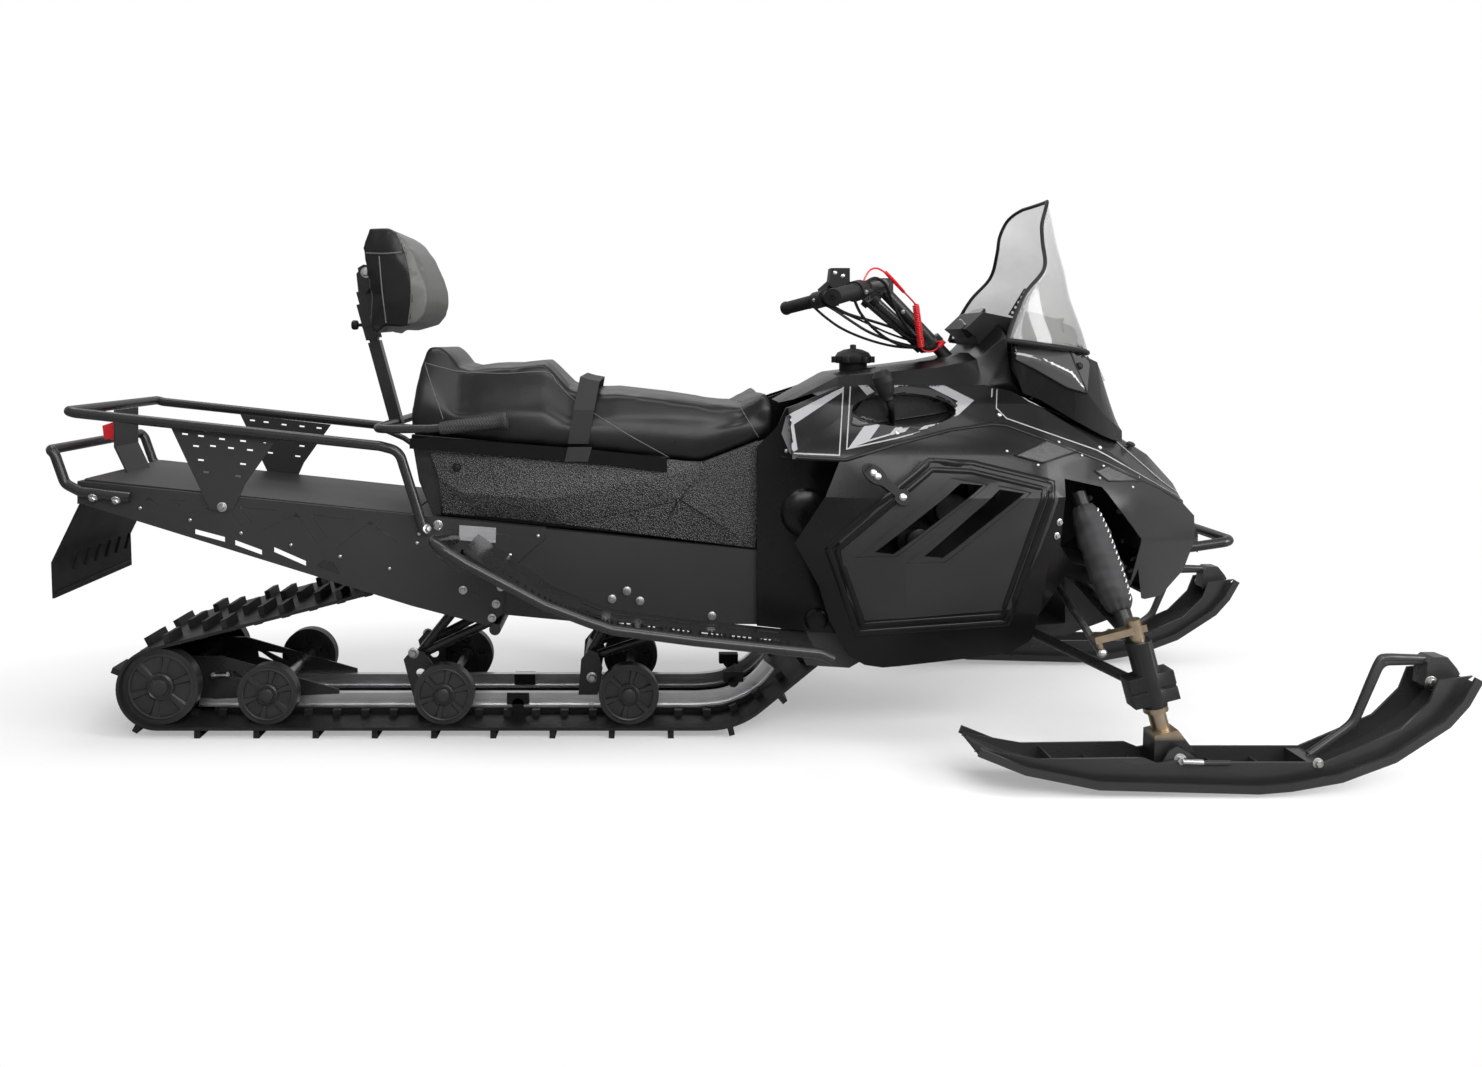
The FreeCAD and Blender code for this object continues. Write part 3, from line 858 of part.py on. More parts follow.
# Engine and front frame inside the shell
engine_at = at((0.2520, 0.1778))
engine = doc.addObject("Part::Box", "engine_block")
engine.setExpression("Length", "sizes.engine_long")
engine.setExpression("Width", "sizes.engine_wide")
engine.setExpression("Height", "sizes.engine_high")
engine.Placement = Placement(Vector(engine_at.x, -s.engine_wide / 2, engine_at.z), Rotation())
doc.recompute()
keep("engine_block", engine)
bulkhead_shares = [(0.4336, 0.1769), (0.4573, 0.1835), (0.4743, 0.2479), (0.5095, 0.3322), (0.6098, 0.2893), (0.6369, 0.2727), (0.6369, 0.2066), (0.5759, 0.1694), (0.4743, 0.1694)]
bulkhead_points = place_list(bulkhead_shares)
bulkhead = across([at(p) for p in [(0.5420, 0.1835), (0.6301, 0.2231), (0.6335, 0.2975), (0.5420, 0.3240)]], s.bulkhead_half)
bulkhead = bulkhead.fuse(across([at(p) for p in [(0.4268, 0.1835), (0.5434, 0.1835), (0.5434, 0.2066), (0.4268, 0.1983)]], s.bulkhead_half))
node("bulkhead", bulkhead)

# Front bumper tube
front_bumper_shares = [(0.6911, 0.3240), (0.7182, 0.3455), (0.7995, 0.3603)]
fb = place_list(front_bumper_shares, -s.cowl_half * 0.42)
fb[0].y = -s.cowl_half * 0.30
bumper_tube = tube(fb + [Vector(p.x, -p.y, p.z) for p in fb[::-1]], s.frame_tube_radius, s.small_bend).cut(cowl_solid).cut(crown)
node("front_bumper", largest(bumper_tube))

# Kingpins, spindles, skis, arms and shocks
ski_y = -s.ski_stance / 2
king_top = at((0.5596, 0.2653), ski_y)
king_low = at((0.6016, 0.0669), ski_y)
king_dir = (king_low - king_top).normalize()
king_back = Vector(king_dir.z, 0, -king_dir.x)


def king_at(along, back=0.0):
    # a point measured down the kingpin from its top, and back from it
    return king_top + king_dir * along + king_back * back


housing_tube = rod(king_at(s.housing_start), king_at(s.housing_end), s.housing_radius)
wing_end = s.housing_end - s.arm_drop
wing_start = wing_end - s.wing_long
wing = prism([king_at(wing_start, s.wing_out), king_at(wing_start, -s.wing_out), king_at(wing_end, -s.wing_out), king_at(wing_end, s.wing_out)], ski_y - s.wing_half, ski_y + s.wing_half)
wing_groove = prism([king_at(wing_start + s.wing_long * 0.46, -2 * s.wing_out), king_at(wing_start + s.wing_long * 0.56, -2 * s.wing_out), king_at(wing_start + s.wing_long * 0.56, 2 * s.wing_out), king_at(wing_start + s.wing_long * 0.46, 2 * s.wing_out)], ski_y - 2 * s.wing_half, ski_y - s.wing_half * 0.8)
housing = housing_tube.fuse(wing.cut(wing_groove)).cut(rod(king_top, king_low, s.kingpin_radius + s.kingpin_gap))
collar_start = s.housing_end + s.kingpin_gap * 20
shaft = rod(king_at(-s.king_over), king_at(s.housing_end + s.collar_long), s.kingpin_radius)
collar = rod(king_at(collar_start), king_at(collar_start + s.collar_long), s.collar_radius)
leg = rod(king_at(s.housing_end + s.collar_long), king_at(s.housing_end + s.leg_long), s.leg_radius)
half_arm = s.steer_arm_thick / 2
steer_arm = prism([king_at(s.arm_drop - half_arm, -s.arm_root), king_at(s.arm_drop + half_arm, -s.arm_root), king_at(s.arm_drop + half_arm, s.steer_arm_long + s.ball_radius), king_at(s.arm_drop - half_arm, s.steer_arm_long + s.ball_radius)], ski_y - s.steer_arm_wide / 2, ski_y + s.steer_arm_wide / 2)
ski_pivot = at((0.6131, 0.0545), ski_y)
clevis_top = s.housing_end + s.clevis_start
clevis = prism([king_at(clevis_top, s.collar_radius), king_at(clevis_top, -s.collar_radius), ski_pivot + Vector(s.clevis_front, 0, s.ski_pin_radius), ski_pivot + Vector(s.clevis_front, 0, -s.clevis_drop), ski_pivot + Vector(-s.clevis_back, 0, -s.clevis_drop), ski_pivot + Vector(-s.clevis_back, 0, s.ski_pin_radius)], ski_y - s.clevis_half, ski_y + s.clevis_half)
stem = rod(king_at(s.arm_drop + half_arm, s.steer_arm_long), king_at(s.arm_drop + half_arm + s.stem_long, s.steer_arm_long), s.ball_radius * 0.6)
spindle = shaft.multiFuse([collar, leg, steer_arm, clevis, stem])
node("spindle_right", spindle)
node("spindle_left", mirrored(spindle))
ball_at = king_at(s.arm_drop + half_arm + s.stem_long + s.ball_radius, s.steer_arm_long)
tie_inner = at((0.5217, 0.2909), -s.cowl_half * 0.42)
tie = Part.makeSphere(s.ball_radius, ball_at).multiFuse([rod(ball_at, tie_inner, s.tie_radius), Part.makeSphere(s.ball_radius, tie_inner)])
tie = tie.cut(rod(king_at(-s.king_over, s.steer_arm_long), king_at(s.arm_drop + half_arm + s.stem_long + s.kingpin_gap, s.steer_arm_long), s.ball_radius * 1.4))
node("tie_rod_right", tie)
node("tie_rod_left", mirrored(tie))

upper_in = [at((0.5501, 0.3025), -s.bulkhead_half), at((0.6192, 0.2893), -s.bulkhead_half)]
upper_out = king_at(s.housing_start + s.arm_eye_offset) + Vector(0, s.housing_radius * 0.7, 0)
lower_in = [at((0.4878, 0.1917), -s.bulkhead_half), at((0.6220, 0.2314), -s.bulkhead_half)]
lower_out = king_at(s.housing_end - s.arm_eye_offset * 2.5) + Vector(0, s.housing_radius * 0.7, 0)
suspension_arms = []
for inner_ends, outer_end in ((upper_in, upper_out), (lower_in, lower_out)):
    pair = rod(inner_ends[0], outer_end, s.suspension_tube_radius).fuse(rod(inner_ends[1], outer_end, s.suspension_tube_radius))
    suspension_arms.append(largest(pair.cut(housing).cut(bulkhead).cut(rod(king_top, king_low, s.housing_radius))))
suspension_pair = Part.makeCompound(suspension_arms)
node("suspension_arms", Part.makeCompound(suspension_arms + [mirrored(a) for a in suspension_arms]))
node("spindle_housings", both(housing))
shock_head = at((0.5325, 0.4628), -s.cowl_half * 0.74)
shock_foot = upper_out + ((upper_in[0] + upper_in[1]) * 0.5 - upper_out) * 0.17
shock_run = shock_foot - shock_head
cover_a, cover_b = shock_head + shock_run * 0.10, shock_head + shock_run * 0.86
shock = rod(shock_head, shock_foot, s.shock_radius).cut(suspension_arms[0])
node("front_shocks", both(largest(shock)))
cover_tube = rod(cover_a, cover_b, s.cover_radius).cut(rod(shock_head - shock_run, shock_foot + shock_run, s.shock_radius + s.seat_gap)).cut(suspension_arms[0])
node("shock_covers", both(cover_tube))

# Skis with their channel walls, ribs, keels and front loops
ski_top_shares = [(0.3347, 0.0694), (0.3388, 0.0744), (0.4160, 0.0579), (0.5589, 0.0603), (0.5772, 0.0512), (0.6145, 0.0595), (0.6423, 0.0529), (0.7995, 0.0529), (0.9011, 0.1058), (0.9383, 0.1504), (0.9499, 0.1860), (0.9959, 0.1926)]
ski_bottom_shares = [(1.0000, 0.1785), (0.9905, 0.1603), (0.9553, 0.1074), (0.8794, 0.0496), (0.8103, 0.0182), (0.7453, 0.0041), (0.7046, 0.0000), (0.4946, 0.0066), (0.3902, 0.0298)]
blade_shares = [(0.3388, 0.0727), (0.3997, 0.0430), (0.4946, 0.0198), (0.7046, 0.0132), (0.7453, 0.0174), (0.8103, 0.0314), (0.8794, 0.0628), (0.9485, 0.1174), (0.9715, 0.1488), (0.9892, 0.1868)]
blade_top = place_list(blade_shares, ski_y)


def ski_run(outline_points, start, end):
    return prism(outline_points, ski_y + start, ski_y + end)


blade = ski_run(band(blade_top, s.ski_base), -s.ski_half, s.ski_half)
wall_outline = place_list(ski_top_shares) + blade_top[::-1]
keel_line = [p - Vector(0, 0, s.ski_base / 2) for p in blade_top[1:]]
keel = ski_run(keel_line + place_list(ski_bottom_shares), -s.keel_half, s.keel_half)
rim_line = band([p + Vector(0, 0, s.ski_rim) for p in blade_top], s.ski_rim + s.ski_base)
half_wall = s.ski_wall / 2
ski_pieces = [keel]
for side in (-1, 1):
    low, high = sorted((side * (s.ski_wall_offset - half_wall), side * (s.ski_wall_offset + half_wall)))
    ski_pieces.append(ski_run(wall_outline, low, high))
    low, high = sorted((side * (s.ski_half - s.ski_base), side * s.ski_half))
    ski_pieces.append(ski_run(rim_line, low, high))
rib_place_shares = [0.44, 0.50, 0.56, 0.67, 0.73]
for share in rib_place_shares:
    x = share * s.half_length
    z = height_on(blade_top, x)
    ski_pieces.append(ski_run([Vector(x, 0, z - s.ski_base / 2), Vector(x + s.ski_rib_thick, 0, z - s.ski_base / 2), Vector(x + s.ski_rib_thick, 0, z + s.ski_rib_high), Vector(x, 0, z + s.ski_rib_high)], -s.ski_wall_offset, s.ski_wall_offset))
loop_block_shares = [(0.7791, 0.0248), (0.7791, 0.0512), (0.8035, 0.0512), (0.8130, 0.0364), (0.8130, 0.0281)]
tip_lug_shares = [(0.9458, 0.1694), (0.9485, 0.2083), (0.9566, 0.2165), (0.9756, 0.2165), (0.9878, 0.1983), (0.9919, 0.1893), (0.9715, 0.1471)]
ski_pieces.append(ski_run(place_list(loop_block_shares), -s.ski_wall_offset, s.ski_wall_offset))
ski_pieces.append(ski_run(place_list(tip_lug_shares), -s.clevis_half * 0.75, s.clevis_half * 0.75))
loop_shares = [(0.7913, 0.0430), (0.8570, 0.1025), (0.8808, 0.1694), (0.8943, 0.2050), (0.9539, 0.2066), (0.9688, 0.1967)]
ski_pieces.append(tube(place_list(loop_shares, ski_y), s.loop_radius, s.small_bend))
ski_pieces.append(rod(ski_pivot - Vector(0, s.ski_wall_offset + s.ski_wall, 0), ski_pivot + Vector(0, s.ski_wall_offset + s.ski_wall, 0), s.ski_pin_radius))
ski = largest(blade.multiFuse(ski_pieces).cut(clevis).cut(leg))
node("ski_right", ski)
node("ski_left", mirrored(ski))

# Steering post, handlebar, grips and controls
bar_side_shares = [(0.2805, 0.8463), (0.2710, 0.8413), (0.2236, 0.8298), (0.1599, 0.8091)]
bar_wide_shares = [0.10, 0.26, 0.56, 1.0]
bar_side = [Vector(p.x, -b * s.bar_half, p.z) for p, b in zip(place_list(bar_side_shares), bar_wide_shares)]
handlebar = tube(bar_side[::-1] + [Vector(p.x, -p.y, p.z) for p in bar_side], s.bar_radius, s.frame_bend)
clamp = Part.makeBox(s.bar_clamp_long, s.bar_clamp_wide, s.bar_clamp_high, Vector(riser_top.x - s.bar_clamp_long / 2, -s.bar_clamp_wide / 2, riser_top.z - s.bar_clamp_high * 0.35))
ring_at = riser_top + (riser_low - riser_top) * 0.582
cable_ring = rod(ring_at - riser_dir * (s.ring_long / 2), ring_at + riser_dir * (s.ring_long / 2), s.ring_radius)
riser = rod(riser_top + riser_dir * s.riser_clear, riser_low, s.riser_radius)
stem_solid = largest(riser.multiFuse([clamp, cable_ring]).cut(handlebar))
node("steering_riser", stem_solid)
node("handlebar", handlebar)
grip_dir = (bar_side[3] - bar_side[2]).normalize()
grip_end = bar_side[3] + grip_dir * s.grip_cap
grip_start = grip_end - grip_dir * s.grip_long
bar_bore = rod(bar_side[2] - grip_dir * s.bar_half, bar_side[3] + grip_dir * s.seat_gap, s.bar_radius + s.seat_gap)
node("grips", both(rod(grip_start, grip_end, s.grip_radius).cut(bar_bore)))
switch_end = grip_start - grip_dir * (s.grip_cap / 2)
switch_start = switch_end - grip_dir * s.switch_long
switch_radius = s.grip_radius * 1.25
switch = rod(switch_start, switch_end, switch_radius).cut(bar_bore)
switch_middle = (switch_start + switch_end) * 0.5
forward, upward = Vector(1, 0, 0), Vector(0, 0, 1)
thumb_points = [switch_middle + forward * (s.bar_radius + s.lever_high / 2), switch_middle + forward * (switch_radius * 1.7) + grip_dir * s.lever_high, switch_middle + forward * (switch_radius * 1.5) + grip_dir * (s.lever_high * 3.4)]
right_controls = switch.fuse(tube(thumb_points, s.lever_high * 0.42, s.half_length))
left_middle = Vector(switch_middle.x, -switch_middle.y, switch_middle.z)
left_dir = Vector(grip_dir.x, -grip_dir.y, grip_dir.z)
lever_reach = s.grip_radius * 3
lever_points = [left_middle + forward * (s.bar_radius + s.lever_high / 2), left_middle + forward * lever_reach - left_dir * s.lever_high, left_middle + forward * lever_reach + left_dir * (s.lever_high * 2), left_middle + forward * (lever_reach * 0.9) + left_dir * s.grip_long]
reservoir_shares = [(0.2209, 0.8545), (0.2249, 0.8917), (0.2581, 0.8917), (0.2581, 0.8603), (0.2371, 0.8446)]
reservoir = prism(place_list(reservoir_shares), left_middle.y - s.reservoir_wide / 2, left_middle.y + s.reservoir_wide / 2)
reservoir_neck = rod(left_middle + upward * (s.bar_radius + s.lever_high / 2), at((0.2371, 0.8694), left_middle.y), s.lever_high)
left_controls = mirrored(switch).multiFuse([tube(lever_points, s.lever_high * 0.5, s.half_length), reservoir, reservoir_neck])
node("switch_housings", Part.makeCompound([largest(right_controls), largest(left_controls.cut(mirrored(bar_bore)))]))

# Control cables run from both ends of the bar to the ring on the post
cable_routes = [
    [(328, 232, 985), (362, 160, 957), (408, 95, 940), (462, 42, 918), (505, 18, 890), (527, 12, 872)],
    [(330, -228, 1016), (358, -200, 1031), (393, -152, 1021), (424, -92, 966), (476, -42, 906), (508, -16, 882), (526, -8, 870)],
    [(322, 238, 982), (338, 185, 966), (360, 110, 940), (396, 45, 908), (455, 0, 884), (500, 0, 874), (524, 2, 868)]]
cables = []
for route in cable_routes:
    run = tube([Vector(*p) for p in route], s.cable_radius, s.half_length)
    cables.append(largest(run.cut(Part.makeCompound([stem_solid, mirrored(switch), switch, largest(left_controls)]))))
node("control_cables", Part.makeCompound(cables))

# Curly stop-switch cord from the right-hand controls to a clip on the ring
lead_top = [(326, -232, 1016), (336, -224, 1041), (358, -210, 1053), (386, -186, 1042), (416, -148, 1021), (444, -108, 1002), (466, -78, 988), (482.5, -60, 976)]
coil_route = [(482.5, -60, 976), (488, -56, 944), (494, -50, 906), (500, -45, 872)]
lead_low = [(500, -45, 872), (506, -44, 865), (520, -44, 863), (533, -46, 867), (541, -48, 876)]
coil_points = [Vector(*p) for p in coil_route]
upper_lead = tube([Vector(*p) for p in lead_top], s.cord_radius, s.half_length)
lower_lead = tube([Vector(*p) for p in lead_low], s.cord_radius, s.half_length)
coil = tube(coil_points, s.coil_radius, s.half_length)
clip_at = Vector(*lead_low[-1])
clip_dir = (clip_at - Vector(*lead_low[-2])).normalize()
clip_head = clip_at + clip_dir * (s.clip_wide * 2)
clip_body = rod(clip_at, clip_head, s.clip_wide * 0.6)
clip_arm = rod(clip_head - clip_dir * s.clip_wide * 0.6, ring_at, s.clip_wide * 0.5)
clip = largest(clip_body.fuse(clip_arm).cut(stem_solid))
upper_lead = largest(upper_lead.cut(switch).cut(largest(right_controls)).cut(coil))
node("tether_cord", Part.makeCompound([upper_lead, largest(lower_lead.cut(coil).cut(clip))]))
node("tether_coil", coil)
node("tether_clip", clip)

for obj in doc.Objects:
    if "Invalid" in obj.State or "Error" in obj.State:
        raise RuntimeError("failed object: %s %s" % (obj.Label, obj.State))
labels = [obj.Label for obj in NODES]
if len(labels) != len(set(labels)):
    raise RuntimeError("a label is used twice")
for obj in NODES:
    if obj.Shape.isNull() or not obj.Shape.isValid() or not obj.Shape.Solids:
        raise RuntimeError("bad shape: " + obj.Label)

os.makedirs("parts", exist_ok=True)
for obj in NODES:
    obj.Shape.exportStep("parts/%s.step" % obj.Label)
box = Part.makeCompound([obj.Shape for obj in NODES]).BoundBox
print("pieces", len(NODES), "box", box)
print("lug rows", lug_rows, "loop", track_length)
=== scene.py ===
import json
import math
import random

import bmesh
import bpy
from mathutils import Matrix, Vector
from mathutils.bvhtree import BVHTree


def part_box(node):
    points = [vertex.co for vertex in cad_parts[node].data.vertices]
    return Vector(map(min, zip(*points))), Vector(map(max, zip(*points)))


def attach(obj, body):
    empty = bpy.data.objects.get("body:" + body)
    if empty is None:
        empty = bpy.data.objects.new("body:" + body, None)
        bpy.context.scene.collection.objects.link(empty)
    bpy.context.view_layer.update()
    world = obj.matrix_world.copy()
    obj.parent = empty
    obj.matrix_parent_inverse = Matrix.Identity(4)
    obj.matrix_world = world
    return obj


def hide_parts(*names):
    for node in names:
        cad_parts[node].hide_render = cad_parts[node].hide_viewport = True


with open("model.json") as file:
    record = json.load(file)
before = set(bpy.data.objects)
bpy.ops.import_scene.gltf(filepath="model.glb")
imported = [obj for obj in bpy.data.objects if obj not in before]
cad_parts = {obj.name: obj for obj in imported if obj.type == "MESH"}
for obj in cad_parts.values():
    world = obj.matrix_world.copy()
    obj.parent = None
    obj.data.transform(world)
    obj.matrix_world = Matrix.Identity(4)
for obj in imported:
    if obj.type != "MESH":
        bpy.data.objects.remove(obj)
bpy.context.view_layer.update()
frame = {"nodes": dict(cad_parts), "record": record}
scene = bpy.context.scene
scene.view_settings.view_transform = "Standard"

# Camera: level, looking straight across the machine from its right-hand side
PHOTO_WIDE, PHOTO_HIGH = 1482, 1067
FOCAL_PIXELS = 1130.8
EYE = Vector((-0.151, -2.711, 0.889))
AIM_PIXEL = (645.3, 341.0)


def add_camera():
    lens = bpy.data.cameras.new("camera")
    lens.sensor_width = 36.0
    lens.lens = FOCAL_PIXELS / PHOTO_WIDE * lens.sensor_width
    lens.shift_x = 0.5 - AIM_PIXEL[0] / PHOTO_WIDE
    lens.shift_y = (AIM_PIXEL[1] - PHOTO_HIGH / 2) / PHOTO_WIDE
    camera = bpy.data.objects.new("camera", lens)
    camera.location = EYE
    camera.rotation_euler = (math.radians(90), 0, 0)
    scene.collection.objects.link(camera)
    scene.camera = camera


add_camera()


class Field:
    """A value that changes over a surface: a node's output, with Python's operators as Math nodes."""

    def __init__(self, socket):
        self.socket = socket

    def math(self, operation, *others, clamp=False, first=None):
        node = self.socket.node.id_data.nodes.new("ShaderNodeMath")
        node.operation = operation
        node.use_clamp = clamp
        values = (self,) + others if first is None else (first, self)
        for place, value in enumerate(values):
            plug(node.inputs[place], value)
        return Field(node.outputs[0])

    def __add__(self, other):
        return self.math("ADD", other)

    def __sub__(self, other):
        return self.math("SUBTRACT", other)

    def __mul__(self, other):
        return self.math("MULTIPLY", other)

    def __truediv__(self, other):
        return self.math("DIVIDE", other)

    def __rsub__(self, other):
        return self.math("SUBTRACT", first=other)


def plug(socket, value):
    if isinstance(value, Field):
        socket.id_data.links.new(value.socket, socket)
    elif value is not None:
        socket.default_value = value


class Finish:
    """A procedural material, or the world, built from named nodes."""

    def __init__(self, name, owner=None):
        self.owner = owner or bpy.data.materials.new(name)
        self.owner.use_nodes = True
        self.tree = self.owner.node_tree
        self.tree.nodes.clear()

    def node(self, kind, settings=None, out=0, **sockets):
        node = self.tree.nodes.new("ShaderNode" + kind)
        for key, value in (settings or {}).items():
            if key == "stops":
                ramp = node.color_ramp
                while len(ramp.elements) < len(value):
                    ramp.elements.new(0.5)
                for element, (place, colour) in zip(ramp.elements, value):
                    element.position = place
                    element.color = (*colour, 1.0)
            else:
                setattr(node, key, value)
        for key, value in sockets.items():
            wanted = key.replace("_", "")
            found = [s for s in node.inputs if s.enabled and s.name.replace(" ", "").lower() == wanted]
            if not found:
                raise ValueError("no socket %s on %s" % (key, kind))
            plug(found[0], value)
        return Field(node.outputs[out]) if len(node.outputs) else None

    def place(self):
        return self.node("TexCoord", out=3)

    def stretched(self, scale):
        return self.node("Mapping", vector=self.place(), scale=scale)

    def noise(self, scale, detail, roughness=0.5, where=None):
        return self.node("TexNoise", vector=where or self.place(), scale=scale, detail=detail,
                         roughness=roughness)

    def cells(self, scale, feature="F1"):
        return self.node("TexVoronoi", {"feature": feature}, vector=self.place(), scale=scale)

    def ramp(self, value, stops):
        return self.node("ValToRGB", {"stops": stops}, fac=value)

    def mix(self, factor, first, second):
        node = self.tree.nodes.new("ShaderNodeMix")
        node.data_type = "RGBA"
        plug(node.inputs[0], factor)
        plug(node.inputs[6], first if isinstance(first, Field) else (*first, 1.0))
        plug(node.inputs[7], (*second, 1.0))
        return Field(node.outputs[2])

    def bump(self, height, strength, distance):
        return self.node("Bump", height=height, strength=strength, distance=distance)

    def surface(self, **sockets):
        shader = self.node("BsdfPrincipled", **sockets)
        self.node("OutputMaterial", surface=shader)
        return self.owner


FINISHES = {}


def finish(make):
    """Keeps the material that the decorated function makes, under the function's name."""
    FINISHES[make.__name__] = make(Finish(make.__name__))
    return make


def even_finish(name, drift, dark, light, gloss, grain=None, relief=None, stretch=None, **sockets):
    """A finish that drifts between two shades and two roughnesses, over a fine grain."""
    m = Finish(name)
    cloud = m.noise(*drift, where=m.stretched(stretch) if stretch else None)
    if grain:
        kind, *size = grain
        sockets["normal"] = m.bump(getattr(m, kind)(*size), *relief)
    gain, least = gloss
    FINISHES[name] = m.surface(base_color=m.mix(cloud, dark, light), roughness=cloud * gain + least,
                               **sockets)


# Each: drift noise, dark and light shade, gain and least roughness, grain, its relief, other sockets
even_finish("cover_panel", (4.0, 5.0, 0.6), (0.011, 0.011, 0.0112), (0.024, 0.024, 0.0244), (0.12, 0.38),
            ("cells", 1500.0), (0.16, 0.0004), specular_ior_level=0.24)
even_finish("grained_plastic", (9.0, 4.0), (0.005, 0.005, 0.0055), (0.012, 0.012, 0.0125), (0.12, 0.42),
            ("cells", 1400.0), (0.25, 0.0005), specular_ior_level=0.18)
even_finish("powder_coat", (3.0, 5.0), (0.0185, 0.0186, 0.019), (0.031, 0.0312, 0.032), (0.15, 0.42),
            ("noise", 420.0, 2.0), (0.15, 0.0004), specular_ior_level=0.22)
even_finish("tube_paint", (12.0, 4.0), (0.010, 0.010, 0.0105), (0.020, 0.020, 0.0205), (0.15, 0.20),
            ("noise", 500.0, 2.0), (0.1, 0.0003), specular_ior_level=0.4)
even_finish("track_rubber", (20.0, 5.0), (0.006, 0.006, 0.006), (0.022, 0.0215, 0.021), (0.2, 0.36),
            ("noise", 260.0, 4.0), (0.35, 0.0008), specular_ior_level=0.2)
even_finish("soft_rubber", (15.0, 4.0), (0.0045, 0.0045, 0.005), (0.010, 0.010, 0.010), (0.15, 0.42),
            ("noise", 600.0, 3.0), (0.2, 0.0004), specular_ior_level=0.2)
even_finish("wheel_plastic", (25.0, 4.0), (0.013, 0.013, 0.0135), (0.030, 0.030, 0.031), (0.2, 0.24),
            ("noise", 300.0, 3.0), (0.12, 0.0004), specular_ior_level=0.32)
even_finish("dark_anodised", (18.0, 4.0), (0.008, 0.008, 0.0085), (0.018, 0.018, 0.0185), (0.15, 0.30),
            ("noise", 350.0, 3.0), (0.08, 0.0003), metallic=0.2, specular_ior_level=0.3)
even_finish("ski_plastic", (14.0, 6.0), (0.012, 0.012, 0.0125), (0.034, 0.034, 0.035), (0.2, 0.16),
            ("noise", 240.0, 2.0), (0.06, 0.0004), (0.2, 1.0, 1.0), specular_ior_level=0.32)
even_finish("zinc_steel", (60.0, 4.0), (0.34, 0.34, 0.33), (0.62, 0.62, 0.60), (0.25, 0.22), metallic=1.0)
even_finish("red_plastic", (30.0, 3.0), (0.42, 0.006, 0.012), (0.6, 0.012, 0.02), (0.1, 0.25))
even_finish("silver_film", (500.0, 2.0), (0.20, 0.20, 0.204), (0.29, 0.29, 0.295), (0.12, 0.36),
            metallic=0.35)
even_finish("ball_cap", (40.0, 3.0), (0.010, 0.010, 0.010), (0.018, 0.018, 0.018), (0.1, 0.2))
even_finish("dial_face", (30.0, 3.0), (0.02, 0.022, 0.025), (0.035, 0.037, 0.04), (0.05, 0.08),
            coat_weight=0.6)
even_finish("smoky_cover", (14.0, 4.0), (0.030, 0.030, 0.031), (0.060, 0.060, 0.061), (0.06, 0.06),
            specular_ior_level=0.7)
even_finish("blank_plate", (160.0, 3.0), (0.34, 0.34, 0.35), (0.48, 0.48, 0.49), (0.2, 0.36),
            stretch=(0.06, 1.0, 1.0), metallic=0.7)


@finish
def satin_panel(m):
    grain = m.noise(900.0, 2.0)
    drift = m.noise(5.0, 5.0, 0.6)
    # Lighter towards the front: the nose is partly a greyer plastic and partly painted light, standing for
    # the light that its up-and-forward slopes catch
    ahead = m.node("SeparateXYZ", vector=m.place(), out=0)
    nose = ((ahead - 0.80) * 9.0).math("MAXIMUM", 0.0).math("MINIMUM", 1.0)
    shell = m.mix(drift, (0.0030, 0.0030, 0.0032), (0.0070, 0.0070, 0.0074))
    colour = m.mix(nose, shell, (0.024, 0.024, 0.0245))
    return m.surface(base_color=colour, roughness=drift * 0.10 + 0.20, normal=m.bump(grain, 0.10, 0.0004),
                     specular_ior_level=0.19)


@finish
def plastic_with_painted_glints(m):
    lumps = m.cells(300.0)
    fine = m.noise(700.0, 2.0)
    # Bright dots on the tops of the grain's bumps: painted glints
    painted_glints = m.ramp(lumps, [(0.0, (0.16, 0.16, 0.162)), (0.30, (0.045, 0.045, 0.046)),
                           (0.7, (0.008, 0.008, 0.009))])
    height = lumps * -1.0 + fine * 0.4
    return m.surface(base_color=painted_glints, roughness=fine * 0.2 + 0.26, normal=m.bump(height, 1.0, 0.0022),
                     specular_ior_level=0.45)


@finish
def black_vinyl(m):
    hide = m.cells(620.0)
    crease = m.noise(30.0, 6.0, 0.62)
    drift = m.noise(4.0, 3.0)
    colour = m.mix(drift, (0.0045, 0.0045, 0.005), (0.010, 0.010, 0.0105))
    height = hide * 0.4 + crease * 0.5
    return m.surface(base_color=colour, roughness=crease * 0.2 + 0.22, normal=m.bump(height, 0.3, 0.0010),
                     specular_ior_level=0.24)


# Grey vinyl: the piping's own grey, and on the backrest's front panel partly painted sheen
@finish
def vinyl_grey_and_sheen(m):
    hide = m.cells(560.0)
    crease = m.noise(40.0, 6.0, 0.6)
    colour = m.mix(crease, (0.055, 0.055, 0.052), (0.10, 0.10, 0.096))
    return m.surface(base_color=colour, roughness=crease * 0.16 + 0.4,
                     normal=m.bump(hide * 0.6 + crease * 0.5, 0.3, 0.0009))


@finish
def webbing(m):
    weave = m.node("TexWave", {"bands_direction": "DIAGONAL"}, vector=m.place(), scale=220.0, distortion=0.5)
    colour = m.mix(weave, (0.004, 0.004, 0.004), (0.013, 0.013, 0.013))
    return m.surface(base_color=colour, roughness=weave * 0.1 + 0.7, normal=m.bump(weave, 0.4, 0.0005))


@finish
def bare_aluminium(m):
    brushed = m.noise(220.0, 3.0, where=m.stretched((0.05, 1.0, 1.0)))
    stain = m.noise(26.0, 5.0)
    colour = m.mix(stain, (0.62, 0.625, 0.63), (0.82, 0.825, 0.83))
    return m.surface(base_color=colour, metallic=1.0, roughness=brushed * 0.25 + 0.24,
                     normal=m.bump(brushed, 0.12, 0.0003))


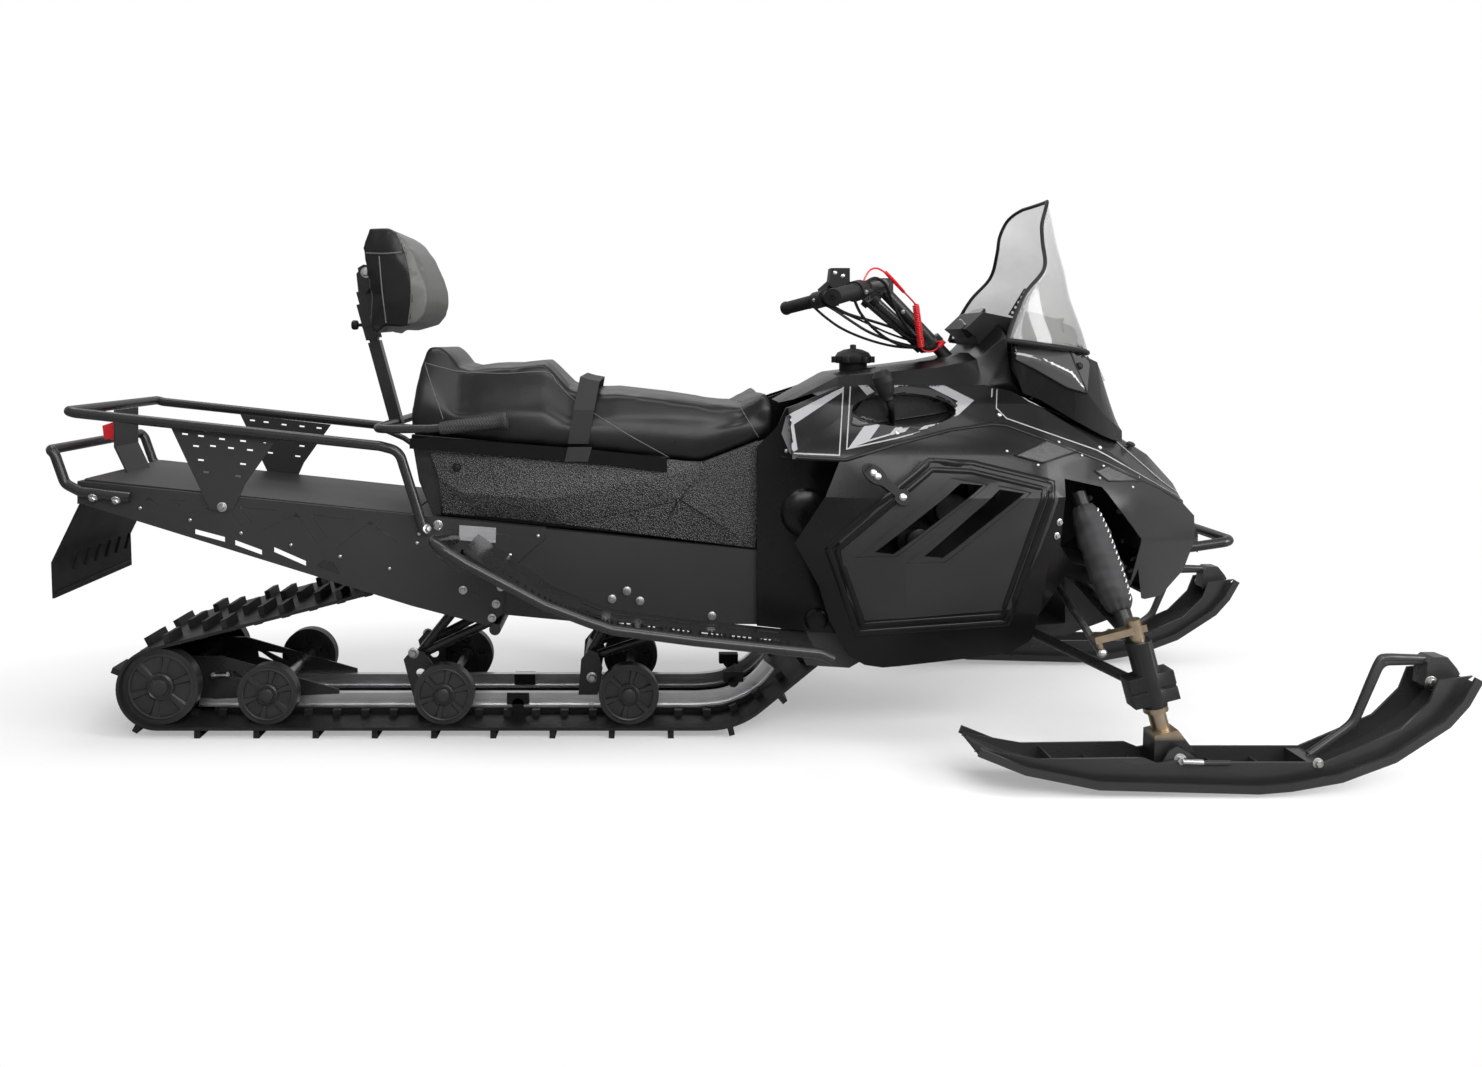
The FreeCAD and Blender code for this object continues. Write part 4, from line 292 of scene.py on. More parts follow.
@finish
def yellow_zinc(m):
    stain = m.noise(45.0, 4.0)
    tint = m.noise(14.0, 2.0)
    high = m.node("SeparateXYZ", vector=m.place(), out=2)
    dark = (0.115 - high).math("MULTIPLY", 60.0, clamp=True)
    warm = m.mix(tint, (0.20, 0.13, 0.075), (0.36, 0.27, 0.17))
    worn = m.mix(stain, warm, (0.50, 0.42, 0.31))
    colour = m.mix(dark, worn, (0.012, 0.012, 0.012))
    return m.surface(base_color=colour, metallic=1.0 - dark * 0.9, roughness=stain * 0.2 + 0.26)


@finish
def smoked_screen(m):
    height = m.node("SeparateXYZ", vector=m.place(), out=2)
    haze = m.noise(9.0, 5.0, 0.6)
    depth = (height - 0.86).math("DIVIDE", 0.36, clamp=True)
    colour = m.mix(depth, (0.24, 0.24, 0.235), (0.46, 0.46, 0.455))
    alpha = (1.0 - depth) * 0.16 + haze * 0.12 + 0.22
    return m.surface(base_color=colour, roughness=haze * 0.08 + 0.04, alpha=alpha, specular_ior_level=0.6)


@finish
def lamp_lens(m):
    ribs = m.node("TexWave", {"bands_direction": "Y"}, vector=m.place(), scale=40.0)
    colour = m.mix(ribs, (0.35, 0.37, 0.38), (0.55, 0.57, 0.58))
    return m.surface(base_color=colour, roughness=ribs * 0.1 + 0.05, alpha=ribs * 0.1 + 0.5,
                     normal=m.bump(ribs, 0.3, 0.001))


@finish
def sleeve_cloth(m):
    warp = m.node("TexWave", {"bands_direction": "X"}, vector=m.place(), scale=260.0)
    weft = m.node("TexWave", {"bands_direction": "Z"}, vector=m.place(), scale=260.0)
    wear = m.noise(30.0, 5.0)
    colour = m.mix(wear, (0.010, 0.010, 0.011), (0.024, 0.024, 0.026))
    weave = warp * weft
    return m.surface(base_color=colour, roughness=wear * 0.15 + 0.62, normal=m.bump(weave, 0.35, 0.0006))


@finish
def white_lace(m):
    twist = m.noise(700.0, 2.0)
    return m.surface(base_color=m.mix(twist, (0.55, 0.55, 0.54), (0.72, 0.72, 0.70)), roughness=0.8,
                     normal=m.bump(twist, 0.3, 0.0003))


@finish
def vent_mesh(m):
    wires = m.cells(260.0, feature="DISTANCE_TO_EDGE")
    # Near-black between the wires: painted shade, standing for the dark space behind the mesh
    colour = m.ramp(wires, [(0.0, (0.055, 0.055, 0.057)), (0.10, (0.04, 0.04, 0.042)),
                            (0.2, (0.004, 0.004, 0.004))])
    return m.surface(base_color=colour, roughness=0.5, normal=m.bump(wires * -1.0, 0.8, 0.0012))


@finish
def grip_pattern(m):
    place = m.node("SeparateXYZ", vector=m.place(), out=0)
    across = m.node("SeparateXYZ", vector=m.place(), out=2)
    ridges = ((place * 900.0 + (across * 900.0).math("PINGPONG", 6.0)).math("PINGPONG", 3.0)) / 3.0
    drift = m.noise(18.0, 4.0)
    colour = m.mix(drift, (0.012, 0.012, 0.013), (0.022, 0.022, 0.022))
    return m.surface(base_color=colour, roughness=drift * 0.15 + 0.55, normal=m.bump(ridges, 0.8, 0.0014))


NODE_FINISHES = dict(
    powder_coat="tunnel tunnel_extension rear_deck rack_plates tail_bracket bulkhead",
    soft_rubber="snow_flap shock_covers grips control_cables", track_rubber="track",
    wheel_plastic="skid_wheels drive_axle", zinc_steel="skid_axles tie_rod_right tie_rod_left",
    grained_plastic="rail_sliders gear_lever tank_cap dash_pod switch_housings",
    bare_aluminium="slide_rails",
    tube_paint="skid_arms running_boards board_rails rack_rail rear_bumper grab_bar backrest_post "
               "backrest_sleeve pad_bracket screen_straps front_bumper suspension_arms "
               "steering_riser handlebar",
    red_plastic="tail_lamp tether_cord tether_coil tether_clip", black_vinyl="seat backrest_pad",
    plastic_with_painted_glints="seat_box", webbing="seat_strap", grip_pattern="grab_grips",
    satin_panel="body_shell side_cover_right side_cover_left console hood", lamp_lens="headlamp",
    smoked_screen="windshield", dark_anodised="engine_block spindle_housings front_shocks",
    yellow_zinc="spindle_right spindle_left", ski_plastic="ski_right ski_left")

for finish_name, nodes in NODE_FINISHES.items():
    for node in nodes.split():
        for material_slot in frame["nodes"][node].material_slots:
            material_slot.material = FINISHES[finish_name]

BODY_OF = {node: body for body, nodes in frame["record"]["behaviour"]["bodies"].items() for node in nodes}
UP, LEFT, FORWARD = Vector((0, 0, 1)), Vector((0, 1, 0)), Vector((1, 0, 0))
RIGHT = -LEFT


def on_plane(u, v, y):
    """Where the camera's ray through a photo pixel meets the upright plane at y."""
    far = (y - EYE.y) / FOCAL_PIXELS
    return Vector((EYE.x + (u - AIM_PIXEL[0]) * far, y, EYE.z + (AIM_PIXEL[1] - v) * far))


def ray_through(u, v):
    return Vector(((u - AIM_PIXEL[0]) / FOCAL_PIXELS, 1.0, (AIM_PIXEL[1] - v) / FOCAL_PIXELS)).normalized()


def skin_of(*sources):
    """A search tree over CAD nodes, named, or over finished pieces."""
    verts, faces = [], []
    for source in sources:
        mesh = (frame["nodes"][source] if isinstance(source, str) else source).data
        base = len(verts)
        verts += [v.co.copy() for v in mesh.vertices]
        faces += [[base + i for i in p.vertices] for p in mesh.polygons]
    return BVHTree.FromPolygons(verts, faces)


def seen_at(skin, u, v):
    """Where a photo pixel's ray meets a skin, with the skin's normal towards the camera's side."""
    place, normal, _, _ = skin.ray_cast(EYE, ray_through(u, v))
    return (place, normal if normal.y < 0 else -normal) if place else (None, None)


def flip(point):
    return Vector((point.x, -point.y, point.z))


def direction(points, i):
    """The way that a line of points runs at its point i."""
    return (points[min(i + 1, len(points) - 1)] - points[max(i - 1, 0)]).normalized()


def level(line, x):
    """The height at x of a line of (x, height) points, held level past its ends."""
    for (x0, z0), (x1, z1) in zip(line, line[1:]):
        if x0 <= x <= x1:
            return z0 + (z1 - z0) * (x - x0) / (x1 - x0)
    return line[0][1] if x < line[0][0] else line[-1][1]


def oblong(middle, across, half, up, low, high):
    """The four corners of a small face round a middle."""
    corners = ((-half, low), (half, low), (half, high), (-half, high))
    return [middle + across * a + up * b for a, b in corners]


def circle(count):
    """Angles evenly round a full turn."""
    return [2 * math.pi * k / count for k in range(count)]


def traced(skin, line, step, closed=False):
    """Places and normals on a skin along a line of photo pixels."""
    points = [Vector(p) for p in line] + ([Vector(line[0])] if closed else [])
    track = []
    for a, b in zip(points, points[1:]):
        count = max(1, round((b - a).length / step))
        for k in range(count):
            place, normal = seen_at(skin, *(a + (b - a) * k / count))
            if place is not None:
                track.append((place, normal))
    place, normal = seen_at(skin, *points[-1])
    if place is not None:
        track.append((place, normal))
    return track


def shifted(outline, wide):
    """A closed pixel outline drawn in by a width, or out where the width is negative."""
    count, drawn = len(outline), []
    area = sum(outline[i - 1][0] * outline[i][1] - outline[i][0] * outline[i - 1][1] for i in range(count))
    way = 1 if area > 0 else -1
    for i in range(count):
        a, b, c = (Vector(outline[k % count]) for k in (i - 1, i, i + 1))
        u, w = (b - a).normalized(), (c - b).normalized()
        n, m = Vector((-u.y, u.x)) * way, Vector((-w.y, w.x)) * way
        drawn.append(tuple(b + (n + m) * (wide / max(0.35, 1 + n.dot(m)))))
    return drawn


def smooth_line(points, steps):
    """A Catmull-Rom line through given points."""
    line = []
    for i in range(len(points) - 1):
        a, b, c, d = points[max(i - 1, 0)], points[i], points[i + 1], points[min(i + 2, len(points) - 1)]
        for k in range(steps):
            t = k / steps
            line.append(0.5 * ((2 * b) + (c - a) * t + (2 * a - 5 * b + 4 * c - d) * t * t
                               + (3 * b - a - 3 * c + d) * t ** 3))
    return line + [points[-1]]


def mesh_of(bm, name):
    """The finished mesh of a bmesh, which is freed."""
    mesh = bpy.data.meshes.new(name)
    bm.to_mesh(mesh)
    bm.free()
    return mesh


def mirrored(bm):
    """Adds the mirror image on the other side of the machine."""
    copy = bmesh.ops.duplicate(bm, geom=bm.verts[:] + bm.edges[:] + bm.faces[:])["geom"]
    bmesh.ops.scale(bm, vec=(1, -1, 1), verts=[g for g in copy if isinstance(g, bmesh.types.BMVert)])
    bmesh.ops.reverse_faces(bm, faces=[g for g in copy if isinstance(g, bmesh.types.BMFace)])


WASHER = [(1.5, None), (1.5, 0.16), (1.5 * 0.92, 0.22)]
HEXAGON = [(0.96, 0.0), (1.0, 0.12), (1.0, 0.75), (0.85, 0.92), (0.4, 0.95)]
DOME = [(1.0, None), (1.0, 0.12), (0.8, 0.42), (0.42, 0.58), (0.12, 0.62)]


class Shapes:
    """Collects small forms in one mesh, which becomes one piece."""

    def __init__(self):
        self.bm = bmesh.new()

    def rings(self, rings, closed=True):
        """Skins a row of rings, with both ends capped, or a row of open lines."""
        rows = [[self.bm.verts.new(p) for p in ring] for ring in rings]
        for a, b in zip(rows, rows[1:]):
            count = len(a)
            for i in range(count if closed else count - 1):
                j = (i + 1) % count
                self.bm.faces.new((a[i], a[j], b[j], b[i]))
        if closed:
            self.bm.faces.new(rows[0][::-1])
            self.bm.faces.new(rows[-1])

    def lathe(self, profile, foot, axis, sides):
        """Turns a profile of (radius, height) round an axis through its foot."""
        turn = axis.to_track_quat("Z", "Y")
        self.rings([[foot + turn @ Vector((r * math.cos(a), r * math.sin(a), h)) for a in circle(sides)]
                    for r, h in profile])

    def tube(self, points, radius, sides):
        """A round tube along points, of one radius or of one at each point."""
        rings, side = [], None
        for i, p in enumerate(points):
            d = direction(points, i)
            if side is None:
                side = d.orthogonal().normalized()
            side = (side - d * side.dot(d)).normalized()
            other = d.cross(side)
            r = radius[i] if isinstance(radius, (list, tuple)) else radius
            rings.append([p + (side * math.cos(a) + other * math.sin(a)) * r for a in circle(sides)])
        self.rings(rings)

    def bead(self, track, wide, high, sides=6):
        """A low rounded ridge along places and normals on a surface."""
        rings = []
        for i, (place, _) in enumerate(track):
            normal = sum((n for _, n in track[max(i - 2, 0):i + 3]), Vector()).normalized()
            along = track[min(i + 1, len(track) - 1)][0] - track[max(i - 1, 0)][0]
            side = along.cross(normal).normalized() * wide / 2
            turns = [math.pi * k / sides for k in range(sides + 1)]
            rings.append([place + side * math.cos(a) + normal * (high * math.sin(a) - 0.0005) for a in turns])
        self.rings(rings)

    def plate(self, outline, thick):
        """A flat plate from an outline; thick is the way to its other face."""
        self.rings([outline, [p + thick for p in outline]])

    def head(self, profile, place, axis, radius, sides):
        """A lathed head, its profile in shares of the radius; None lies a millimetre under the surface."""
        rows = [(r * radius, -0.001 if h is None else h * radius) for r, h in profile]
        self.lathe(rows, place, axis.normalized(), sides)

    def bolt(self, place, axis, radius):
        self.head(WASHER, place, axis, radius, 20)
        self.head(HEXAGON, place + axis.normalized() * radius * 0.16, axis, radius, 6)

    def rivet(self, place, axis, radius):
        self.head(DOME, place, axis, radius, 12)

    def twin(self):
        mirrored(self.bm)
        return self

    def piece(self, name, finish_name, body="chassis", angle=40.0):
        bmesh.ops.recalc_face_normals(self.bm, faces=self.bm.faces)
        return dressed(name, mesh_of(self.bm, name), finish_name, body, angle)


def dressed(name, mesh, finish_name, body="chassis", angle=40.0):
    """The object of a mesh, with its finish, smooth up to an angle and riding with its body."""
    piece = bpy.data.objects.new(name, mesh)
    scene.collection.objects.link(piece)
    mesh.materials.clear()
    mesh.materials.append(FINISHES[finish_name])
    mesh.shade_smooth()
    mesh.set_sharp_from_angle(angle=math.radians(angle))
    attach(piece, body)
    return piece


def rounded(piece, width, angle, segments):
    """Rounds a piece's sharper edges."""
    round_off = piece.modifiers.new("rounded", "BEVEL")
    round_off.width = width
    round_off.segments = segments
    round_off.limit_method = "ANGLE"
    round_off.angle_limit = math.radians(angle)
    return round_off


def apply_modifiers(piece):
    """Bakes a piece's modifiers into its mesh."""
    shape = bpy.data.meshes.new_from_object(piece.evaluated_get(bpy.context.evaluated_depsgraph_get()))
    piece.modifiers.clear()
    old = piece.data
    piece.data = shape
    bpy.data.meshes.remove(old)


MERGE = 0.00005


def softened(node, finish_name, width, angle, segments):
    """The node's own mesh with rounded moulded edges, standing for the node."""
    mesh = frame["nodes"][node].data.copy()
    bm = bmesh.new()
    bm.from_mesh(mesh)
    bmesh.ops.remove_doubles(bm, verts=bm.verts, dist=MERGE)
    bmesh.ops.dissolve_limit(bm, angle_limit=math.radians(1.5), verts=bm.verts, edges=bm.edges)
    bm.to_mesh(mesh)
    bm.free()
    piece = dressed(node + ".soft", mesh, finish_name, BODY_OF[node], 60.0)
    rounded(piece, width, angle, segments).harden_normals = True
    apply_modifiers(piece)
    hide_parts(node)


# The curly stop-switch cord hangs from the right-hand controls to a clip on the steering post
TETHER_TOP = [(0.326, -0.232, 1.016), (0.336, -0.224, 1.041), (0.358, -0.210, 1.053), (0.386, -0.186, 1.042),
              (0.416, -0.148, 1.021), (0.444, -0.108, 1.002), (0.466, -0.078, 0.988), (0.4825, -0.060, 0.976)]
TETHER_COIL = [(0.4825, -0.060, 0.976), (0.488, -0.056, 0.944), (0.494, -0.050, 0.906),
               (0.500, -0.045, 0.872)]
TETHER_LOW = [(0.500, -0.045, 0.872), (0.506, -0.044, 0.865), (0.520, -0.044, 0.863), (0.533, -0.046, 0.867),
              (0.541, -0.048, 0.876)]
TETHER_THICK = 0.0042


def spline_curve(name, points, thick=0.0):
    curve = bpy.data.curves.new(name, "CURVE")
    curve.dimensions = "3D"
    curve.bevel_depth = thick / 2
    curve.bevel_resolution = 3
    curve.use_fill_caps = True
    spline = curve.splines.new("NURBS")
    spline.points.add(len(points) - 1)
    for knot, p in zip(spline.points, points):
        knot.co = (*p, 1.0)
    spline.order_u = 3
    spline.use_endpoint_u = True
    spline.resolution_u = 4
    piece = bpy.data.objects.new(name, curve)
    scene.collection.objects.link(piece)
    return piece


def sampled(points):
    """The points of a fine smooth curve along guide points."""
    guide = spline_curve("guide", points)
    guide.data.splines[0].resolution_u = 24
    mesh = bpy.data.meshes.new_from_object(guide)
    line = [v.co.copy() for v in mesh.vertices]
    bpy.data.objects.remove(guide)
    bpy.data.meshes.remove(mesh)
    return line


def curled(points, radius, turns):
    """Points of a helix wound round a guide line, drawn in at both ends."""
    line = sampled(points)
    runs = [0.0]
    for a, b in zip(line, line[1:]):
        runs.append(runs[-1] + (b - a).length)
    helix, side, k = [], None, 0
    per_turn = 12
    count = turns * per_turn
    for i in range(count + 1):
        s = runs[-1] * i / count
        while k < len(runs) - 2 and runs[k + 1] < s:
            k += 1
        a, b = line[k], line[k + 1]
        d = (b - a).normalized()
        side = side or d.orthogonal().normalized()
        side = (side - d * side.dot(d)).normalized()
        turn = 2 * math.pi * i / per_turn
        draw = min(1.0, 0.15 + i / per_turn, 0.15 + (count - i) / per_turn)
        out = side * math.cos(turn) + d.cross(side) * math.sin(turn)
        helix.append(a + d * (s - runs[k]) + out * radius * draw)
    return helix


tether_points = TETHER_TOP[:-1] + [tuple(p) for p in curled(TETHER_COIL, 0.0064, 25)] + TETHER_LOW[1:]
tether = spline_curve("tether", tether_points, TETHER_THICK)
tether.data.materials.append(FINISHES["red_plastic"])
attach(tether, "steering")
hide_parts("tether_cord", "tether_coil")
tether_ferrule = Shapes()
tether_ferrule.tube([Vector(p) for p in TETHER_TOP[3:6]], [0.0040, 0.0044, 0.0036], 12)
tether_ferrule = tether_ferrule.piece("tether_ferrule", "red_plastic", "steering")


# Moulded pieces with rounded edges: node, finish, width, least angle and segments of the rounding
MOULDED = [("body_shell", "satin_panel", 0.004, 22.0, 3),
           ("side_cover_right", "cover_panel", 0.0025, 20.0, 2),
           ("side_cover_left", "cover_panel", 0.0025, 20.0, 2), ("console", "satin_panel", 0.005, 14.0, 3),
           ("hood", "satin_panel", 0.004, 14.0, 3), ("dash_pod", "grained_plastic", 0.004, 20.0, 3),
           ("tank_cap", "grained_plastic", 0.0015, 25.0, 2), ("seat_box", "satin_panel", 0.005, 25.0, 3),
           ("switch_housings", "grained_plastic", 0.0025, 30.0, 2),
           ("ski_right", "ski_plastic", 0.0018, 28.0, 2), ("ski_left", "ski_plastic", 0.0018, 28.0, 2),
           ("spindle_housings", "dark_anodised", 0.0025, 30.0, 2)]
for row in MOULDED:
    softened(*row)

# Windscreen: a bowed sheet between shaped edges, with a black rubber trim
SCREEN_EDGE = [(0.6405, 0.236, 0.888), (0.655, 0.229, 0.928), (0.690, 0.210, 0.995), (0.736, 0.197, 1.050),
               (0.7435, 0.165, 1.110), (0.746, 0.153, 1.150), (0.758, 0.140, 1.185), (0.770, 0.117, 1.203),
               (0.782, 0.085, 1.213)]
SCREEN_FRONT = [(0.892, 0.857), (0.879, 0.905), (0.851, 0.987), (0.838, 1.040), (0.822, 1.106),
                (0.815, 1.140), (0.805, 1.180), (0.798, 1.204), (0.794, 1.216)]


def screen_point(t, share):
    """A point on the sheet: t runs from foot to top, share from the right edge to the left."""
    rows = smooth_line([Vector(p) for p in SCREEN_EDGE], 8)
    fronts = smooth_line([Vector((x, 0, z)) for x, z in SCREEN_FRONT], 8)
    spot = t * (len(rows) - 1)
    i = min(int(spot), len(rows) - 2)
    edge = rows[i].lerp(rows[i + 1], spot - i)
    front = fronts[i].lerp(fronts[i + 1], spot - i)
    depth, wide = (front - Vector((edge.x, 0, edge.z))), edge.y
    radius = (wide ** 2 + depth.length ** 2) / (2 * depth.length)
    half = math.asin(min(1.0, wide / radius))
    half = half if depth.length < wide else math.pi - half
    a = (share * 2 - 1) * half
    return front - depth.normalized() * radius * (1 - math.cos(a)) + Vector((0, radius * math.sin(a), 0))


def add_screen():
    rows, columns = 40, 32
    grid = Shapes()
    grid.rings([[screen_point(r / rows, c / columns) for c in range(columns + 1)] for r in range(rows + 1)],
               closed=False)
    sheet = grid.piece("screen_sheet", "smoked_screen", angle=80)
    thick = sheet.modifiers.new("thick", "SOLIDIFY")
    thick.thickness = 0.003
    thick.offset = 0.0
    apply_modifiers(sheet)
    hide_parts("windshield")
    border = [screen_point(r / rows, 0.0) for r in range(rows + 1)]
    border += [screen_point(1.0, c / columns) for c in range(1, columns)]
    border += [screen_point(r / rows, 1.0) for r in range(rows, -1, -1)]
    trim = Shapes()
    trim.tube(border, 0.0042, 10)
    foot = [screen_point(0.012, c / columns) for c in range(columns + 1)]
    trim.tube(foot, 0.006, 10)
    trim.piece("screen_trim", "soft_rubber", angle=80)


add_screen()


# Silver graphics on the shoulder panels, laid on the shell by the camera's rays
def laid_film(name, outlines, skin, finish_name, lift=0.0009, cell=5.0, outer=None, mirror=True):
    """A thin film on a skin; outer holds three pixels of the outer face that it must keep to."""
    film = bmesh.new()
    if outer:
        a, b, c = (seen_at(skin, *pixel)[0] for pixel in outer)
        outward = (b - a).cross(c - a).normalized()
        outward = outward if outward.y < 0 else -outward
    for outline in outlines:
        face = film.faces.new([film.verts.new((u, v, 0)) for u, v in outline])
        bmesh.ops.triangulate(film, faces=[face])
    for _ in range(7):
        long_edges = [e for e in film.edges if e.calc_length() > cell]
        if not long_edges:
            break
        bmesh.ops.subdivide_edges(film, edges=long_edges, cuts=1)
        bmesh.ops.triangulate(film, faces=[f for f in film.faces if len(f.verts) > 3])
    lost = []
    for v in film.verts:
        place, normal = seen_at(skin, v.co.x, v.co.y)
        if place is None or (outer and (place - a).dot(outward) < -0.008):
            lost.append(v)
        else:
            v.co = place + normal * lift
    bmesh.ops.delete(film, geom=lost, context="VERTS")
    if mirror:
        mirrored(film)
    film.normal_update()
    for patch in film.faces:
        if patch.normal.y * patch.calc_center_median().y < 0:
            patch.normal_flip()
    dressed(name, mesh_of(film, name), finish_name, "chassis", 60)


def framed(outline, wide):
    """The strips between a closed outline and the same outline drawn in."""
    inner, count = shifted(outline, wide), len(outline)
    return [[outline[i], outline[(i + 1) % count], inner[(i + 1) % count], inner[i]] for i in range(count)]


SHOULDER_REAR = [(781.5, 433.5), (786, 416), (844, 387), (840, 456), (790, 454)]
SHOULDER_REAR_INSIDE = [(797.6, 449.6), (793.8, 424.7), (798, 422), (843, 392), (838.7, 451)]
SHOULDER_MIDDLE = [(850, 382), (899, 379), (944, 380), (993, 384), (991, 419), (949, 425), (897, 439),
                   (846, 450)]
CHEVRON = [[(912, 380.5), (934, 380.5), (974, 400.5), (958, 401.5), (927, 386), (920, 383.5)],
           [(974, 400.5), (948, 424.7), (918, 430.5), (942, 413), (958, 401.5)]]
LOWER_STRIPES = [[(906, 415.5), (922, 413.5), (905, 432), (888, 436)],
                 [(864.6, 425.6), (884, 420), (868, 442), (847.5, 449.5)],
                 [(868, 442), (870, 439.5), (891, 433.5), (888, 436)]]
UPPER_STRIPES = [[(856, 383), (865, 383), (874.5, 392), (867, 395.8)],
                 [(880, 382), (897, 381), (908, 386), (891, 388.5)]]
NOSE_LINE = [(996.5, 385), (1015, 391), (1029, 401), (1114, 439), (1161, 480), (1196.5, 507), (1105.6, 455.5),
             (1097, 451), (1006, 419), (995.6, 408.5)]
SHOULDER_FACE = [(850, 384), (991, 387), (848, 447)]


def add_graphics():
    skin = skin_of("body_shell")
    out, inside = SHOULDER_REAR, SHOULDER_REAR_INSIDE
    rear = [out[:2] + inside[2::-1] + out[4:], out[1:3] + inside[3:1:-1]]
    laid_film("rear_stripes", rear, skin, "silver_film")
    laid_film("shoulder_stripes", CHEVRON + LOWER_STRIPES + UPPER_STRIPES, skin, "silver_film", cell=3.0,
              outer=SHOULDER_FACE)
    laid_film("shoulder_lines", framed(SHOULDER_REAR, 1.3) + framed(NOSE_LINE, 1.1), skin, "silver_film",
              0.0011)
    laid_film("middle_line", framed(SHOULDER_MIDDLE, 1.3), skin, "silver_film", 0.0011, outer=SHOULDER_FACE)


add_graphics()


# Seat and backrest pad: vinyl skins blown up by a cloth simulation, with seams sewn on after
CLOTH_FRAMES = 20


def swollen(node, name, voxel, shrink, cap, held):
    """A remeshed, blown-up skin of a pad's solid; held says where its cover is fixed."""
    low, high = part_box(node)
    middle, size = (low + high) / 2, high - low
    mesh = frame["nodes"][node].data.copy()
    for v in mesh.vertices:
        v.co = middle + Vector([(v.co[i] - middle[i]) * (size[i] - 2 * shrink) / size[i] for i in range(3)])
    piece = dressed(name, mesh, "black_vinyl", BODY_OF[node], 180)
    remesh = piece.modifiers.new("even", "REMESH")
    remesh.mode = "VOXEL"
    remesh.voxel_size = voxel
    apply_modifiers(piece)
    ease = piece.modifiers.new("ease", "SMOOTH")
    ease.factor = 0.5
    ease.iterations = 6
    apply_modifiers(piece)
    rest = [v.co.copy() for v in piece.data.vertices]
    pins = piece.vertex_groups.new(name="held")
    pins.add([i for i, p in enumerate(rest) if held(p)], 1.0, "REPLACE")
    cloth = piece.modifiers.new("blown", "CLOTH")
    settings = cloth.settings
    settings.quality = 5
    settings.use_pressure = True
    settings.uniform_pressure_force = 4.0
    settings.tension_stiffness = settings.compression_stiffness = 12.0
    settings.bending_stiffness = 6.0
    settings.effector_weights.gravity = 0.0
    settings.vertex_group_mass = "held"
    cloth.point_cache.frame_start = 1
    cloth.point_cache.frame_end = CLOTH_FRAMES
    for step in range(1, CLOTH_FRAMES + 1):
        scene.frame_set(step)
    apply_modifiers(piece)
    scene.frame_set(1)
    for v, p in zip(piece.data.vertices, rest):
        move = (v.co - p) * 0.5
        v.co = p + move * min(1, cap / max(move.length, 1e-6))
    piece.data.shade_smooth()
    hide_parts(node)
    return piece


def keep_within(piece, node, room):
    """Holds a pad's points inside its solid's box, but for what the cover may stand proud."""
    low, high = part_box(node)
    for v in piece.data.vertices:
        v.co = Vector([min(max(v.co[i], low[i] - room), high[i] + room) for i in range(3)])


SEAT_FOOT = [(411, 438), (436, 438), (590, 450), (669, 460), (703, 462), (759, 440), (771, 433)]
SEAT_FLOOR = [(p.x, p.z) for p in (on_plane(u, v, -0.2) for u, v in SEAT_FOOT)]
seat = swollen("seat", "seat_cover", voxel=0.0080, shrink=0.001, cap=0.008,
               held=lambda p: p.z < level(SEAT_FLOOR, p.x) + 0.020)

# How far the seat's crest is drawn down in the photograph from its solid: (column, pixels)
SEAT_CREST = [(412, -8), (426, -15), (438, -8), (450, 1), (462, 13), (474, 12), (486, 8), (498, 6), (522, 4),
              (546, 4), (558, 10), (570, 15), (582, 14), (594, 12), (618, 8), (666, 8), (702, 10), (726, 14),
              (738, 16), (750, 9), (762, -1), (774, 12)]
CREST_Y, CREST_FAR = -0.1, 2.611
CREST_LINE = [(on_plane(u, 0, CREST_Y).x, drop * CREST_FAR / FOCAL_PIXELS) for u, drop in SEAT_CREST]
for v in seat.data.vertices:
    share = min(max((v.co.z - level(SEAT_FLOOR, v.co.x) - 0.035) / 0.070, 0), 1)
    v.co.z -= level(CREST_LINE, v.co.x) * share * share * (3 - 2 * share)
keep_within(seat, "seat", 0.006)
pad_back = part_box("backrest_pad")[0].x
pad = swollen("backrest_pad", "backrest_cover", voxel=0.0055, shrink=0.002, cap=0.006,
              held=lambda p: p.x < pad_back + 0.012)
for v in pad.data.vertices:
    v.co.x = pad_back + (v.co.x - pad_back) * 0.85
keep_within(pad, "backrest_pad", 0.005)

SEAT_SEAMS = [[(425, 363), (444, 368), (464, 372), (505, 373.5), (546, 372), (558, 384), (576, 401),
               (622, 431), (672, 459)], [(425, 364), (431, 384), (438, 404), (443, 419)],
              [(734, 396), (742, 410), (751, 425), (759, 438)]]
PAD_SEAMS = [[(394, 229), (404, 250), (410, 275), (411, 300), (408, 324)],
             [(366, 253), (385, 253.5), (402, 252)], [(379, 256), (382, 290), (386, 323)]]


def sewn(name, piece, lines, radius, body):
    """Piping along seams that are drawn in photo pixels."""
    skin = skin_of(piece)
    cord = Shapes()
    for line in lines:
        dense = [seen_at(skin, p.x, p.y) for p in smooth_line([Vector((u, v, 0)) for u, v in line], 8)]
        track = [place + normal * radius * 0.25 for place, normal in dense if place is not None]
        if len(track) > 3:
            cord.tube(track, radius, 8)
    cord.twin().piece(name, "vinyl_grey_and_sheen", body, 80)


sewn("seat_piping", seat, SEAT_SEAMS, 0.0011, "chassis")
sewn("pad_piping", pad, PAD_SEAMS, 0.0016, "backrest_tilt")


# Fabric sleeves round the front shock absorbers, drawn in at the ends and laced up the side
SLEEVE_TOP, SLEEVE_FOOT = Vector((0.7915, -0.2749, 0.5332)), Vector((0.8336, -0.3674, 0.3294))


def sleeve_radius(t):
    """The sleeve's radius at a share of its length, and how far it has opened from its gathered ends."""
    gather = (1 - math.exp(-t * 16)) * (1 - math.exp(-(1 - t) * 16))
    return 0.0195 + (0.0125 + 0.0035 * math.sin(math.pi * t)) * gather, gather


